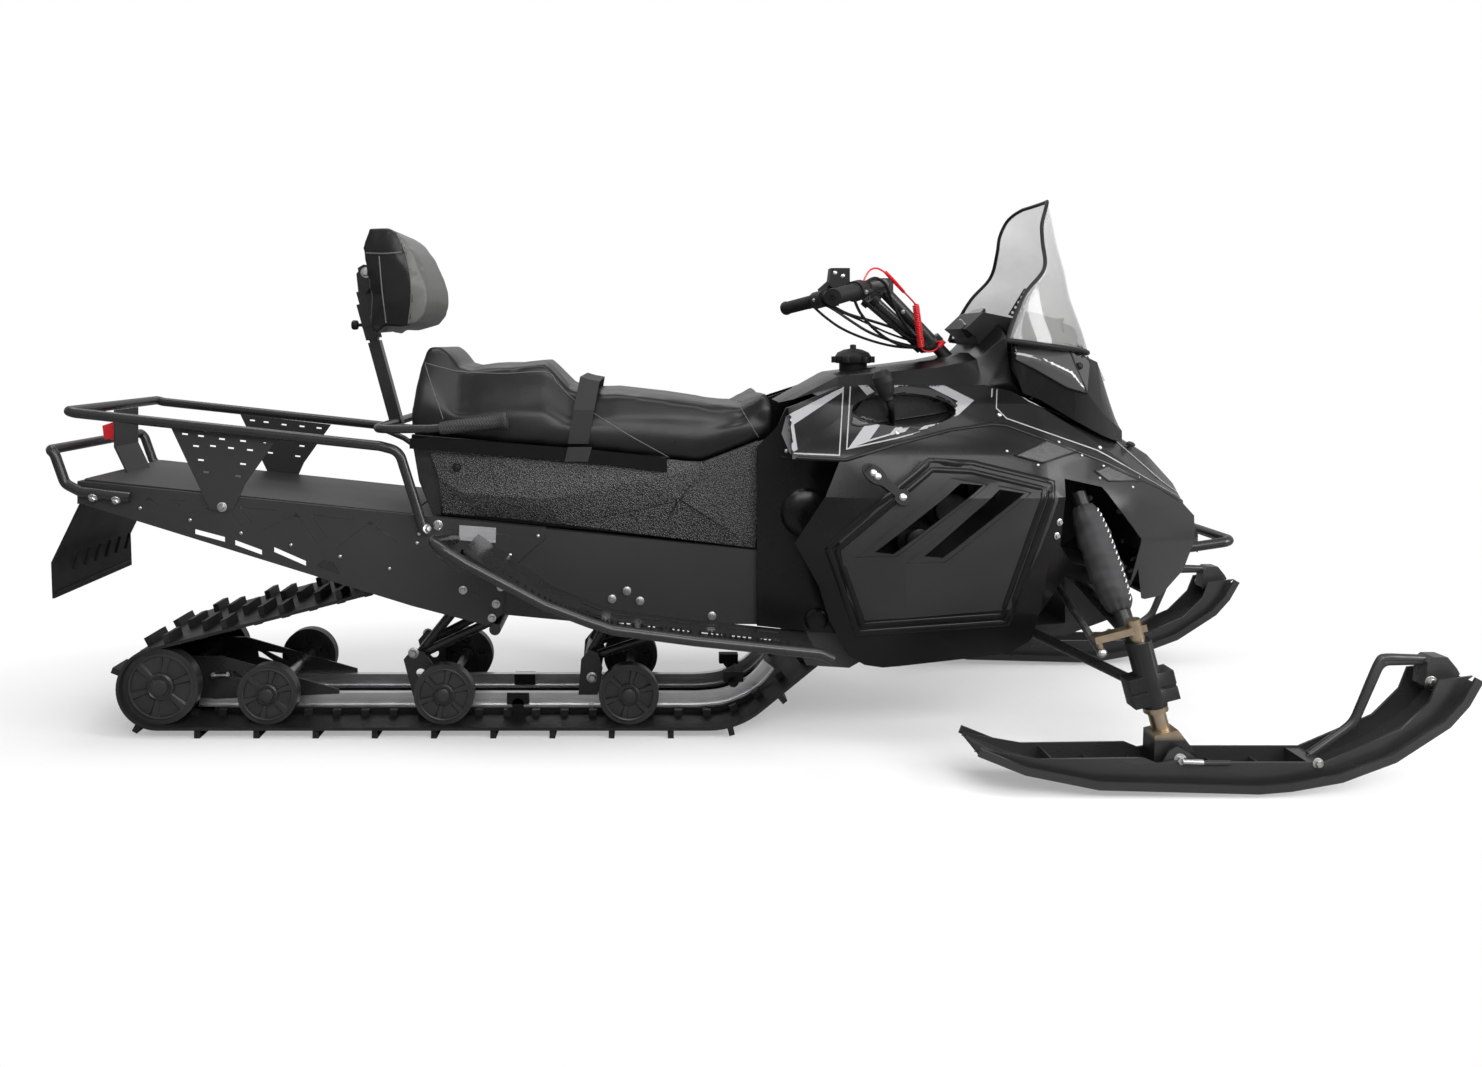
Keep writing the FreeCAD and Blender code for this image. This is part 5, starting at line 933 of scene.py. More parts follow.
def add_sleeves():
    axis = SLEEVE_FOOT - SLEEVE_TOP
    long, axis = axis.length, axis.normalized()
    turn = axis.to_track_quat("Z", "Y")
    rng = random.Random(4)
    phases = [rng.random() * 2 * math.pi for _ in range(4)]
    rings, rows, sides = [], 84, 48
    for i in range(rows + 1):
        t = i / rows
        radius, gather = sleeve_radius(t)
        ring = []
        for a in circle(sides):
            pleat = 0.0016 * math.sin(11 * a + 3 * t + phases[0]) * (1 - gather * 0.85)
            crease = 0.0011 * math.sin(2 * a + 19 * t + phases[1])
            crease += 0.0008 * math.sin(3 * a - 37 * t + phases[2])
            crease += 0.0006 * math.sin(a + 61 * t + phases[3])
            r = radius + pleat + crease * gather
            ring.append(SLEEVE_TOP + turn @ Vector((r * math.cos(a), r * math.sin(a), t * long)))
        rings.append(ring)
    sleeve = Shapes()
    sleeve.rings(rings)
    sleeve = sleeve.twin().piece("shock_sleeves", "sleeve_cloth", angle=180)
    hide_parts("shock_covers")
    lacing = Shapes()
    facing = Vector((0.62, -0.78, 0))
    outward = (facing - axis * facing.dot(axis)).normalized()
    tangent = axis.cross(outward)
    for i in range(17):
        t = 0.08 + 0.84 * i / 16
        centre = SLEEVE_TOP + axis * (t * long) + outward * (sleeve_radius(t)[0] + 0.0004)
        lean = tangent * 0.0035 + axis * 0.0035
        lacing.tube([centre - lean, centre + outward * 0.0016, centre + lean], 0.0013, 6)
    lacing.twin().piece("sleeve_lacing", "white_lace")


add_sleeves()

BODY_SKIN = skin_of("body_shell", "side_cover_right")


# Screws, bolts and rivets
def dotted(name, spots, ground, radius, kind="rivet", mirror=True, body="chassis"):
    """Heads at photo pixels, on a skin, or on the upright plane at y where the ground is a number."""
    heads = Shapes()
    for u, v in spots:
        seen = (on_plane(u, v, ground), RIGHT) if isinstance(ground, float) else seen_at(ground, u, v)
        if seen[0] is not None:
            getattr(heads, kind)(*seen, radius)
    if mirror:
        heads.twin()
    heads.piece(name, "zinc_steel", body)


dotted("panel_screws", [(786.5, 451), (897, 433), (999.4, 415), (1031, 398), (1100, 447.6)], BODY_SKIN,
       0.0052)
VENT_RIVETS = [(1007, 451), (1059, 442), (1082, 455.5), (1038, 465), (1103.6, 466), (1100, 478),
               (1139, 477.5), (1133, 487)]
dotted("vent_rivets", VENT_RIVETS, BODY_SKIN, 0.0033)
TUNNEL_SKIN = skin_of("tunnel", "tunnel_extension")
TUNNEL_RIVETS = [(140, 508), (190, 520), (241, 533), (291, 545), (340, 556.5), (389.5, 568.6), (139, 483),
                 (189, 488), (238, 494), (287, 499), (336, 504), (384, 510), (417, 543), (419, 534),
                 (439, 529), (510, 555), (538, 536)]
TUNNEL_BOLTS = [(612, 599), (627, 591), (640, 601), (712, 616), (783, 627), (463, 590), (492, 618),
                (501, 587), (496, 604)]
dotted("tunnel_rivets", TUNNEL_RIVETS, TUNNEL_SKIN, 0.0042)
dotted("tunnel_bolts", TUNNEL_BOLTS, TUNNEL_SKIN, 0.0062, "bolt")


# Wire mesh behind the two nose openings on each side, in pressed surrounds; the near-black between its wires
# is painted shade
VENTS = [[(1014.7, 455.5), (1047, 441), (1079, 451), (1042.5, 463)],
         [(1095, 471), (1108, 466), (1141, 481), (1108, 481)]]


def add_vents():
    skin = skin_of("body_shell")
    laid_film("vent_meshes", VENTS, skin, "vent_mesh", 0.0007, 4.0)
    surround = Shapes()
    for outline in VENTS:
        ring = []
        for (a, b), (c, d) in zip(outline, outline[1:] + outline[:1]):
            seen = [seen_at(skin, a + (c - a) * k / 6, b + (d - b) * k / 6) for k in range(6)]
            ring += [place + normal * 0.0006 for place, normal in seen if place is not None]
        surround.tube(ring + ring[:2], 0.0022, 8)
    surround.twin().piece("vent_surrounds", "satin_panel", angle=70)


add_vents()


# Rubber straps that hold the side covers: an eyelet plate above and a hook strap below
def add_latches():
    strap, studs = Shapes(), Shapes()
    top, normal = seen_at(BODY_SKIN, 874.7, 474.5)
    low, low_normal = seen_at(BODY_SKIN, 902.6, 497.4)
    along = (low - top).normalized()
    side = along.cross(normal).normalized()
    lift = normal * 0.0045
    pads = ((top + normal * 0.0005, 0.030, 0.0175), (low + low_normal * 0.0005, 0.0175, 0.0165))
    for centre, reach, half in pads:
        oval = [centre + along * math.cos(a) * reach + side * math.sin(a) * half for a in circle(18)]
        strap.plate(oval, lift)
    strap.rings([oblong(top + along * 0.012, side, 0.010, normal, 0, 0.006),
                 oblong(low - along * 0.010, side, 0.008, low_normal, 0, 0.006)])
    hook = top + lift - along * 0.018
    strap.tube([hook + side * 0.009, top + lift - along * 0.020, hook - side * 0.009], 0.003, 8)
    spots = ((top + lift - along * 0.004, normal, 0.0075), (top + lift + along * 0.007, normal, 0.0075),
             (low + low_normal * 0.0045, low_normal, 0.0078))
    for place, out, r in spots:
        studs.lathe([(r, 0), (r, 0.002), (r * 0.8, 0.0036), (r * 0.35, 0.0042)], place, out, 16)
    strap.twin().piece("cover_latches", "soft_rubber")
    studs.twin().piece("latch_studs", "zinc_steel")


add_latches()


# Dark drums and a hose seen through the louvres
def add_louvre_inside():
    works = Shapes()
    for x, z, r in ((0.52, 0.52, 0.05), (0.60, 0.56, 0.035), (0.45, 0.45, 0.04)):
        drum = [(r, 0), (r, 0.03), (r * 0.7, 0.04), (r * 0.7, 0.07), (r * 0.3, 0.075)]
        works.lathe(drum, Vector((x, -0.17, z)), RIGHT, 28)
    hose = ((0.42, -0.2, 0.50), (0.50, -0.23, 0.55), (0.58, -0.22, 0.52), (0.64, -0.2, 0.56))
    works.tube([Vector(p) for p in hose], 0.009, 10)
    works.piece("engine_bay_works", "dark_anodised")


add_louvre_inside()


# Running gear seen between the wheels: extruded rails, black rear plates, pivot brackets and arms
RAIL_FOOT = [(-1.190, 0.0395), (-0.900, 0.0395), (-0.500, 0.0395), (-0.100, 0.0395), (-0.020, 0.0400),
             (0.040, 0.0480), (0.090, 0.0700), (0.125, 0.0960), (0.150, 0.1260)]
RAIL_HIGH, RAIL_FLANGE, RAIL_WEB, RAIL_LIP = 0.032, 0.008, 0.0028, 0.0042
RAIL_Y = 0.074


def add_rails():
    path = smooth_line([Vector((x, -RAIL_Y, z)) for x, z in RAIL_FOOT], 5)
    half = [(0, RAIL_FLANGE), (RAIL_LIP, RAIL_FLANGE), (RAIL_LIP, RAIL_WEB), (RAIL_HIGH * 0.5, RAIL_WEB),
            (RAIL_HIGH * 0.52, RAIL_WEB + 0.0016), (RAIL_HIGH - RAIL_LIP, RAIL_WEB + 0.0016),
            (RAIL_HIGH - RAIL_LIP, RAIL_FLANGE), (RAIL_HIGH, RAIL_FLANGE)]
    section = half + [(h, -w) for h, w in reversed(half)]
    rings = []
    for i, p in enumerate(path):
        d = direction(path, i)
        up = Vector((-d.z, 0, d.x))
        rings.append([p + up * h + RIGHT * w for h, w in section])
    rails = Shapes()
    rails.rings(rings)
    rails = rails.twin().piece("rail_beams", "bare_aluminium", angle=30)
    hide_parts("slide_rails")


add_rails()


def cut_sheet(name, outline, holes, y, thick, finish_name):
    """A flat sheet standing fore and aft at y, and its twin, with holes cut; outlines are (x, z)."""
    curve = bpy.data.curves.new(name, "CURVE")
    curve.dimensions = "2D"
    curve.fill_mode = "BOTH"
    curve.extrude = thick / 2
    for line in [outline] + holes:
        spline = curve.splines.new("POLY")
        spline.points.add(len(line) - 1)
        for knot, (x, z) in zip(spline.points, line):
            knot.co = (x, z, 0, 1)
        spline.use_cyclic_u = True
    flat = bpy.data.objects.new(name, curve)
    scene.collection.objects.link(flat)
    sheet = bmesh.new()
    mesh = bpy.data.meshes.new_from_object(flat)
    sheet.from_mesh(mesh)
    bpy.data.objects.remove(flat)
    bpy.data.curves.remove(curve)
    bpy.data.meshes.remove(mesh)
    for v in sheet.verts:
        v.co = Vector((v.co.x, y - v.co.z, v.co.y))
    bmesh.ops.remove_doubles(sheet, verts=sheet.verts, dist=0.00001)
    mirrored(sheet)
    bmesh.ops.recalc_face_normals(sheet, faces=sheet.faces)
    return dressed(name, mesh_of(sheet, name), finish_name, angle=30)


def ring_hole(x, z, radius):
    return [(x + radius * math.cos(a), z + radius * math.sin(a)) for a in circle(20)]


REAR_PLATE = [(-1.262, 0.132), (-1.205, 0.158), (-1.135, 0.158), (-0.862, 0.080), (-0.862, 0.070),
              (-1.150, 0.058), (-1.205, 0.064), (-1.262, 0.092)]
REAR_PLATE_HOLES = [[(-1.108, 0.124), (-1.098, 0.120), (-1.066, 0.097), (-1.106, 0.109)],
                    [(-1.086, 0.1235), (-1.034, 0.116), (-1.034, 0.097)]]
PIVOT_REAR = [(-0.712, 0.150), (-0.690, 0.176), (-0.664, 0.166), (-0.645, 0.140), (-0.640, 0.070),
              (-0.690, 0.066)]
PIVOT_FRONT = [(-0.300, 0.150), (-0.282, 0.172), (-0.262, 0.166), (-0.250, 0.130), (-0.262, 0.068),
               (-0.306, 0.068)]
cut_sheet("rail_rear_plates", REAR_PLATE, REAR_PLATE_HOLES, -0.0835, 0.004, "tube_paint")
cut_sheet("rear_pivot_plates", PIVOT_REAR, [ring_hole(-0.672, 0.118, 0.011)], -0.0850, 0.004, "tube_paint")
cut_sheet("front_pivot_plates", PIVOT_FRONT, [], -0.0850, 0.004, "tube_paint")

ARM_TUBE, LEG_TUBE = 0.013, 0.0105
ARM_RODS = [(-0.484, 0.207, 0.250), (-0.680, 0.083, 0.152), (-0.190, 0.207, 0.318), (-0.280, 0.083, 0.152)]
ARM_LEGS = [((-0.484, -0.085, 0.250), (-0.680, -0.060, 0.154)),
            ((-0.590, -0.085, 0.268), (-0.680, -0.060, 0.156)),
            ((-0.590, -0.085, 0.268), (-0.484, -0.085, 0.250)),
            ((-0.190, -0.085, 0.318), (-0.280, -0.060, 0.158)),
            ((-0.100, -0.085, 0.212), (-0.280, -0.060, 0.148)),
            ((-0.100, -0.085, 0.212), (-0.190, -0.085, 0.318))]


def add_arms():
    arms = Shapes()
    for rod in ARM_RODS:
        arms.tube([flip(Vector(rod)), Vector(rod)], ARM_TUBE, 16)
    for a, b in ARM_LEGS:
        a, b = Vector(a), Vector(b)
        arms.tube([a, b], LEG_TUBE, 12)
        arms.tube([flip(a), flip(b)], LEG_TUBE, 12)
    arms = arms.piece("skid_arm_tubes", "tube_paint")
    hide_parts("skid_arms")


add_arms()

# Wheel faces: a dished disc with six ribs and a hub cap on each outer side
WHEELS = [(-1.240, 0.1123, 0.085), (-1.000, 0.0948, 0.0675), (-0.604, 0.0948, 0.0675),
          (-0.188, 0.0948, 0.0675), (-0.480, 0.333, 0.060)]
WHEEL_FACE = -0.172
DISC = [(0.80, -0.008), (0.80, -0.004), (0.30, -0.003), (0.30, -0.008)]
HUB = [(0.36, -0.006), (0.36, 0.003), (0.31, 0.0055), (0.28, 0.0035), (0.24, 0.0035), (0.22, 0.009),
       (0.17, 0.011), (0.05, 0.0115)]
RIM = [(0.86, -0.004), (0.88, 0.0012), (0.84, 0.0022), (0.80, 0.001), (0.79, -0.004)]


def add_wheel_faces():
    faces = Shapes()
    for x, z, radius in WHEELS:
        centre = Vector((x, WHEEL_FACE, z))
        for profile, sides in ((DISC, 36), (HUB, 36), (RIM, 48)):
            faces.lathe([(radius * r, h) for r, h in profile], centre, RIGHT, sides)
        for k in range(6):
            a = math.pi * (k / 3 + 0.1)
            out = Vector((math.cos(a), 0, math.sin(a)))
            side = Vector((-out.z, 0, out.x))
            near, far = centre + out * radius * 0.33, centre + out * radius * 0.80
            faces.rings([[near + side * radius * a + lift, far + side * radius * b + lift,
                          far - side * radius * b + lift, near - side * radius * a + lift]
                         for a, b, lift in ((0.085, 0.15, LEFT * 0.005), (0.05, 0.08, RIGHT * 0.0005))])
            faces.rivet(centre + out * radius * 0.26 + RIGHT * 0.003, RIGHT, radius * 0.028)
    faces.twin().piece("wheel_faces", "wheel_plastic", angle=35)


add_wheel_faces()

# Bolts and clips of the running gear
RAIL_BOLTS = [(300.7, 708), (323.4, 708), (345.7, 708), (368.6, 708), (390.5, 708), (411.7, 708), (591, 706),
              (519, 707)]
PIVOT_BOLTS = [(413.5, 653), (592, 677.6)]
dotted("rail_bolts", RAIL_BOLTS, -RAIL_Y - RAIL_WEB - 0.0012, 0.0052, "bolt")
dotted("pivot_bolts", PIVOT_BOLTS, -0.0872, 0.0085, "bolt")


def add_tensioner():
    screw = Shapes()
    a, b = on_plane(211, 675.5, -0.092), on_plane(230, 675, -0.092)
    screw.tube([a, b], 0.0042, 10)
    for share in (0.08, 0.85):
        spot = a.lerp(b, share)
        screw.lathe([(0.009, 0), (0.009, 0.006)], spot, (b - a).normalized(), 6)
    screw.twin().piece("track_tensioners", "zinc_steel")
    clips = Shapes()
    for u, v, w, h in ((518.5, 697, 11, 5.5), (733, 675.5, 10, 5.0)):
        middle = on_plane(u, v, -RAIL_Y)
        wide, high = w * 0.0023, h * 0.0023
        clips.rings([oblong(middle + UP * rise, FORWARD, wide, RIGHT, -0.011, 0.012)
                     for rise in (high, -high)])
        clips.lathe([(high * 1.1, 0), (high * 1.1, 0.012)], middle - UP * high, RIGHT, 14)
    clips.twin().piece("rail_clips", "grained_plastic")


add_tensioner()


# Raised lips round the side cover's groove and along the shoulder moulding
COVER_EDGE = [(833, 549), (931, 466), (972, 468), (1048, 486), (1047, 500), (1004, 619), (861, 629)]
SHOULDER_EDGE = [(781, 457), (846, 460), (897, 444), (950, 430), (992, 424), (1006, 425), (1050, 441),
                 (1105, 462), (1160, 488), (1200, 512)]


def add_lips():
    lips = Shapes()
    lips.bead(traced(BODY_SKIN, shifted(COVER_EDGE, -4.2), 5.0, True), 0.017, 0.0042)
    lips.bead(traced(BODY_SKIN, shifted(COVER_EDGE, 3.6), 5.0, True), 0.013, 0.0034)
    lips.bead(traced(BODY_SKIN, SHOULDER_EDGE, 5.0), 0.009, 0.0026)
    lips.twin().piece("panel_lips", "satin_panel", angle=60)


add_lips()


# Seat box sides: a moulded panel with a creased, scalloped face in coarse plastic, its bright specks painted
# glints
BOX_PANEL = dict(top_rear=(428, 449, 0.5), rear_waist=(438, 478, 1), foot_rear=(442, 514, 0.5),
                 crease_rear=(459, 492, 9), crease_middle=(544, 499, 12), crease_front=(647, 480, 9),
                 crease_end=(705, 465, 3), foot_scallop=(491, 517.5, 1), foot_middle=(562, 525, 1.5),
                 foot_front=(756, 549, 1), top_front=(771, 437, 1), top_dip=(702, 463, 1),
                 top_middle=(600, 452, 3), fold_top=(508, 446, 3), fold_foot=(472, 483, 6),
                 front_middle=(680, 500, 3))
BOX_FACES = [("top_rear", "fold_top", "fold_foot", "crease_rear", "rear_waist"),
             ("rear_waist", "crease_rear", "foot_scallop", "foot_rear"),
             ("fold_top", "top_middle", "crease_middle", "crease_rear", "fold_foot"),
             ("top_middle", "top_dip", "crease_end", "crease_front", "crease_middle"),
             ("crease_rear", "crease_middle", "foot_middle", "foot_scallop"),
             ("crease_middle", "crease_front", "front_middle", "foot_middle"),
             ("crease_front", "crease_end", "front_middle"),
             ("crease_end", "top_dip", "top_front", "foot_front", "front_middle"),
             ("front_middle", "foot_front", "foot_middle")]
BOX_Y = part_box("seat_box")[0].y
BOX_RELIEF = 0.0022


def add_box_panels():
    panel = bmesh.new()
    corners = {}
    for name, (u, v, proud) in BOX_PANEL.items():
        corners[name] = panel.verts.new(on_plane(u, v, BOX_Y - 0.001 - proud * BOX_RELIEF))
    for names in BOX_FACES:
        panel.faces.new([corners[n] for n in names])
    bmesh.ops.triangulate(panel, faces=[f for f in panel.faces if len(f.verts) > 4])
    rim = [e for e in panel.edges if e.is_boundary]
    for part in bmesh.ops.extrude_edge_only(panel, edges=rim)["geom"]:
        if isinstance(part, bmesh.types.BMVert):
            part.co.y = BOX_Y + 0.004
    mirrored(panel)
    bmesh.ops.recalc_face_normals(panel, faces=panel.faces)
    for face in panel.faces:
        if abs(face.normal.y) > 0.5 and face.normal.y * face.calc_center_median().y < 0:
            face.normal_flip()
    piece = dressed("seat_box_panels", mesh_of(panel, "seat_box_panels"), "plastic_with_painted_glints", angle=60)
    rounded(piece, 0.0045, 4, 3)
    apply_modifiers(piece)
    button = Shapes()
    button.lathe([(0.0095, -0.006), (0.0095, 0.002), (0.0075, 0.006), (0.003, 0.0075)],
                 on_plane(457, 467.6, BOX_Y - 0.004), RIGHT, 20)
    button.twin().piece("box_buttons", "grained_plastic")


# The dark tub behind the panels
BOX_TUB = [(412.8, 445.3), (428, 449), (442, 478.5), (446, 514), (433, 515.5), (419, 481)]


def add_box_tub():
    tub = Shapes()
    tub.plate([on_plane(u, v, BOX_Y + 0.010) for u, v in BOX_TUB], LEFT * (-2 * BOX_Y - 0.020))
    tub.piece("seat_box_tub", "ball_cap")


add_box_panels()
add_box_tub()

# Flat bars along the seat's lower edge, with the strap's ends brought down over them
SEAT_BAR = [(411, 438), (436, 437), (590, 449), (667, 457.5), (667, 471), (590, 462.5), (436, 449.5),
            (411, 448)]
STRAP_END = [(588, 461.5), (564.5, 461.5), (568, 447), (592, 447)]


def add_seat_bars():
    bars = Shapes()
    bars.plate([on_plane(u, v, BOX_Y - 0.004) for u, v in SEAT_BAR], RIGHT * 0.016)
    bars.twin().piece("seat_bar_covers", "satin_panel", angle=40)
    strap = Shapes()
    strap.plate([on_plane(u, v, BOX_Y - 0.020) for u, v in STRAP_END], RIGHT * 0.003)
    strap.twin().piece("strap_ends", "webbing")


add_seat_bars()


# Rear deck: one smooth folded sheet
def add_deck():
    low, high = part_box("rear_deck")
    rear, front = Vector((low.x, 0, high.z)), Vector((high.x, 0, low.z + 0.001))
    wide, thick, lip = high.y, 0.004, 0.006
    section = [(-wide, -lip), (-wide, 0), (-wide + 0.004, 0.0012), (wide - 0.004, 0.0012), (wide, 0),
               (wide, -lip), (wide - 0.003, -lip), (wide - 0.004, -thick), (-wide + 0.004, -thick),
               (-wide + 0.003, -lip)]
    deck = Shapes()
    deck.rings([[end + LEFT * y + UP * z for y, z in section] for end in (rear, front)])
    deck = deck.piece("deck_sheet", "powder_coat", angle=30)
    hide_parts("rear_deck")


add_deck()

# Grab bar: one bent tube round the back of the seat, with moulded grips on its two free ends
GRAB_Y, GRAB_TUBE = 0.232, 0.010
GRAB_END, GRAB_ELBOW = Vector((-0.4545, -GRAB_Y, 0.715)), Vector((-0.604, -GRAB_Y, 0.697))
GRAB_BACK = Vector((-0.745, -GRAB_Y, 0.696))
GRIP_PROFILE = [(0.0105, 0), (0.0135, 0.001), (0.0145, 0.010), (0.0150, 0.030), (0.0152, 0.120),
                (0.0160, 0.138), (0.0185, 0.141), (0.0190, 0.146), (0.0178, 0.1495), (0.006, 0.1505)]


def add_grab_bar():
    bar = Shapes()
    bend = 0.040
    corner = []
    for k in range(9):
        a = math.pi / 2 * k / 8
        corner.append(GRAB_BACK + FORWARD * bend * (1 - math.sin(a)) + LEFT * bend * (1 - math.cos(a)))
    side = [GRAB_END, GRAB_ELBOW + (GRAB_END - GRAB_ELBOW) * 0.15, GRAB_ELBOW + FORWARD * -0.02] + corner
    bar.tube(side + [flip(p) for p in reversed(side)], GRAB_TUBE, 14)
    for y in (-0.184, 0.184):
        stay = [Vector((-0.742, y, 0.694)), Vector((-0.690, y, 0.672)), Vector((-0.655, y, 0.648))]
        bar.tube(stay, 0.006, 10)
    bar = bar.piece("grab_tube", "tube_paint", angle=50)
    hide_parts("grab_bar")
    grips = Shapes()
    run = (GRAB_END - GRAB_ELBOW).normalized()
    grips.lathe(GRIP_PROFILE, GRAB_END - run * 0.1485, run, 28)
    grips = grips.twin().piece("grab_grip_covers", "grip_pattern", angle=50)
    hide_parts("grab_grips")


add_grab_bar()

# Handlebar grips: ribbed rubber sleeves
BAR_BEND, BAR_TIP = Vector((0.330, -0.2159, 1.004)), Vector((0.236, -0.3855, 0.979))


def add_bar_grips():
    run = (BAR_TIP - BAR_BEND).normalized()
    long, radius, ribs = 0.131, 0.0172, 20
    profile = [(0.0125, 0), (radius + 0.002, 0.001), (radius + 0.002, 0.005), (radius, 0.006)]
    for k in range(ribs):
        z = 0.009 + k * (long - 0.020) / ribs
        profile += [(radius, z), (radius - 0.0012, z + 0.0012), (radius - 0.0012, z + 0.0026),
                    (radius, z + 0.0038)]
    profile += [(radius, long - 0.008), (radius + 0.0018, long - 0.005), (radius + 0.0012, long - 0.001)]
    profile += [(radius * 0.35, long), (radius * 0.28, long - 0.004)]
    grips = Shapes()
    grips.lathe(profile, BAR_TIP + run * 0.006 - run * long, run, 32)
    grips = grips.twin().piece("bar_grip_covers", "soft_rubber", "steering", 40)
    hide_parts("grips")


add_bar_grips()


# Backrest pad: a grey front panel between the two piped seams; its lighter grey is partly the vinyl's own and
# partly painted sheen
PAD_SEAM_LINE = sorted((p.z, p.x) for p in (on_plane(u, v, -0.145) for u, v in PAD_SEAMS[0]))
pad.data.materials.append(FINISHES["vinyl_grey_and_sheen"])
for face in pad.data.polygons:
    if face.center.x > level(PAD_SEAM_LINE, face.center.z) + 0.002:
        face.material_index = 1


# The gear lever's recess: a dark leaf-shaped dish in the shoulder with a moulded lip
WELL = [(851.5, 424), (853, 413), (862, 401), (880, 391), (905, 386.5), (932, 390), (948, 397), (957, 406),
        (950, 411.5), (925, 415.5), (895, 420), (872, 424.5), (858, 426)]
skin = skin_of("body_shell", "console", "hood", "dash_pod")
laid_film("well_dish", [WELL], skin, "ball_cap", 0.0016, 4.0)
well_lip = Shapes()
well_lip.bead(traced(skin, WELL, 3.0, True), 0.006, 0.0024)
well_lip.twin().piece("well_lips", "satin_panel", angle=60)


# Backrest pivot bolt, bracket plate and clamp knob
def add_backrest_fittings():
    y = -0.034
    bracket = Shapes()
    ear = ((358, 268), (364, 264.5), (371, 266), (375, 273), (374, 282), (366, 294), (361, 283))
    bracket.plate([on_plane(u, v, y) for u, v in ear], RIGHT * 0.004)
    bracket.twin().piece("pad_ears", "tube_paint", "backrest_tilt", 40)
    heads = Shapes()
    heads.bolt(on_plane(366, 272.5, y - 0.004), RIGHT, 0.0085)
    heads.twin().piece("pad_bolts", "zinc_steel", "backrest_tilt")
    knob = Shapes()
    profile = [(0.004, 0), (0.004, 0.016), (0.010, 0.017), (0.0115, 0.020), (0.0115, 0.028), (0.009, 0.031),
               (0.002, 0.032)]
    knob.lathe(profile, on_plane(365, 325, 0), -FORWARD, 20)
    knob.piece("sleeve_knob", "grained_plastic", "backrest_slide", 50)


add_backrest_fittings()


# Smoky lamp cover in front of the nose, with its dark frame
LAMP_COVER = [(1008, 316), (1029, 311), (1051, 321), (1070, 335), (1087, 358), (1089, 366), (1086, 393),
              (1066, 387), (1034, 368.5), (1015, 359.5), (1008, 350)]
LAMP_FRAME = [(1063, 338), (1069, 352), (1074, 366), (1086, 393)]


def add_lamp_cover():
    skin = skin_of("hood")
    laid_film("lamp_cover", [LAMP_COVER], skin, "smoky_cover", 0.0040, 6.0)
    frame_line = Shapes()
    frame_line.bead([(p + n * 0.004, n) for p, n in traced(skin, LAMP_FRAME, 3.0)], 0.004, 0.0024)
    frame_line.bead([(p + n * 0.003, n) for p, n in traced(skin, LAMP_COVER, 5.0, True)], 0.0045, 0.0026)
    for u, v in ((1072, 339), (1077, 367)):
        place, normal = seen_at(skin, u, v)
        if place is not None:
            stud = [(0.008, -0.002), (0.008, 0.006), (0.006, 0.009), (0.002, 0.010)]
            frame_line.lathe(stud, place + normal * 0.003, normal, 20)
    frame_line.twin().piece("lamp_frames", "grained_plastic", angle=60)
    dotted("hood_screws", [(1031, 398.5)], skin, 0.0045)


add_lamp_cover()

# The dark visor that stands up inside the screen, and the drilled straps that hold the screen
VISOR = [(1024, 310), (1040, 313), (1056, 318), (1074, 326), (1089, 336), (1093, 364), (1066, 354),
         (1040, 349), (1008, 343), (1010, 325)]
laid_film("visor", [VISOR], skin_of("windshield"), "grained_plastic", -0.0050, 5.0)
STRAP, STRAP_Y = [(1016.5, 314), (1021.5, 316), (1038, 289), (1033, 287)], -0.031


def add_straps():
    outline = [on_plane(u, v, STRAP_Y) for u, v in STRAP]
    foot, head = (outline[0] + outline[1]) / 2, (outline[2] + outline[3]) / 2
    holes = [ring_hole(foot.x + (head.x - foot.x) * t, foot.z + (head.z - foot.z) * t, 0.0034)
             for t in (0.12, 0.31, 0.5, 0.69, 0.88)]
    sheet = cut_sheet("screen_strap_plates", [(p.x, p.z) for p in outline], holes, STRAP_Y, 0.002, "ball_cap")
    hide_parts("screen_straps")


add_straps()


# Instrument face and its bezel on the pod, with the ignition switch beside it
KEY_SECTION = [(-0.008, 0), (0.008, 0), (0.009, 0.016), (-0.009, 0.016)]


def add_instrument():
    low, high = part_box("dash_pod")
    face = Shapes()
    top = (high.z + low.z) / 2 + 0.028
    centre, tilt = Vector((low.x + 0.040, 0, top)), Vector((-0.62, 0, 0.78))
    up_face = tilt.cross(LEFT)
    outline = [centre + LEFT * 0.055 * math.cos(a) * (1 - 0.12 * math.cos(4 * a))
               + up_face * 0.030 * math.sin(a) * (1 - 0.12 * math.cos(4 * a)) for a in circle(32)]
    face.rings([[p - tilt * 0.012 for p in outline], [p + tilt * 0.004 for p in outline]])
    face.piece("instrument_face", "dial_face", angle=40)
    bezel = Shapes()
    bezel.tube(outline + outline[:2], 0.0036, 8)
    bezel.lathe([(0.013, -0.02), (0.013, 0.006), (0.010, 0.009), (0.004, 0.009)],
                Vector((low.x + 0.012, -0.060, top - 0.028)), tilt, 20)
    bezel.piece("instrument_bezel", "grained_plastic", angle=50)
    key = Shapes()
    key.rings([[Vector((low.x + x, -0.060, top - z)) + LEFT * a + tilt * b for a, b in KEY_SECTION]
               for x, z in ((0.006, 0.020), (0.009, 0.018))])
    key.piece("ignition_key", "zinc_steel")


add_instrument()


# Snow flap: six short ribs, and one across its top and its foot
FLAP_TOP, FLAP_FOOT, FLAP_HALF = Vector((-1.4061, 0, 0.576)), Vector((-1.476, 0, 0.315)), 0.19


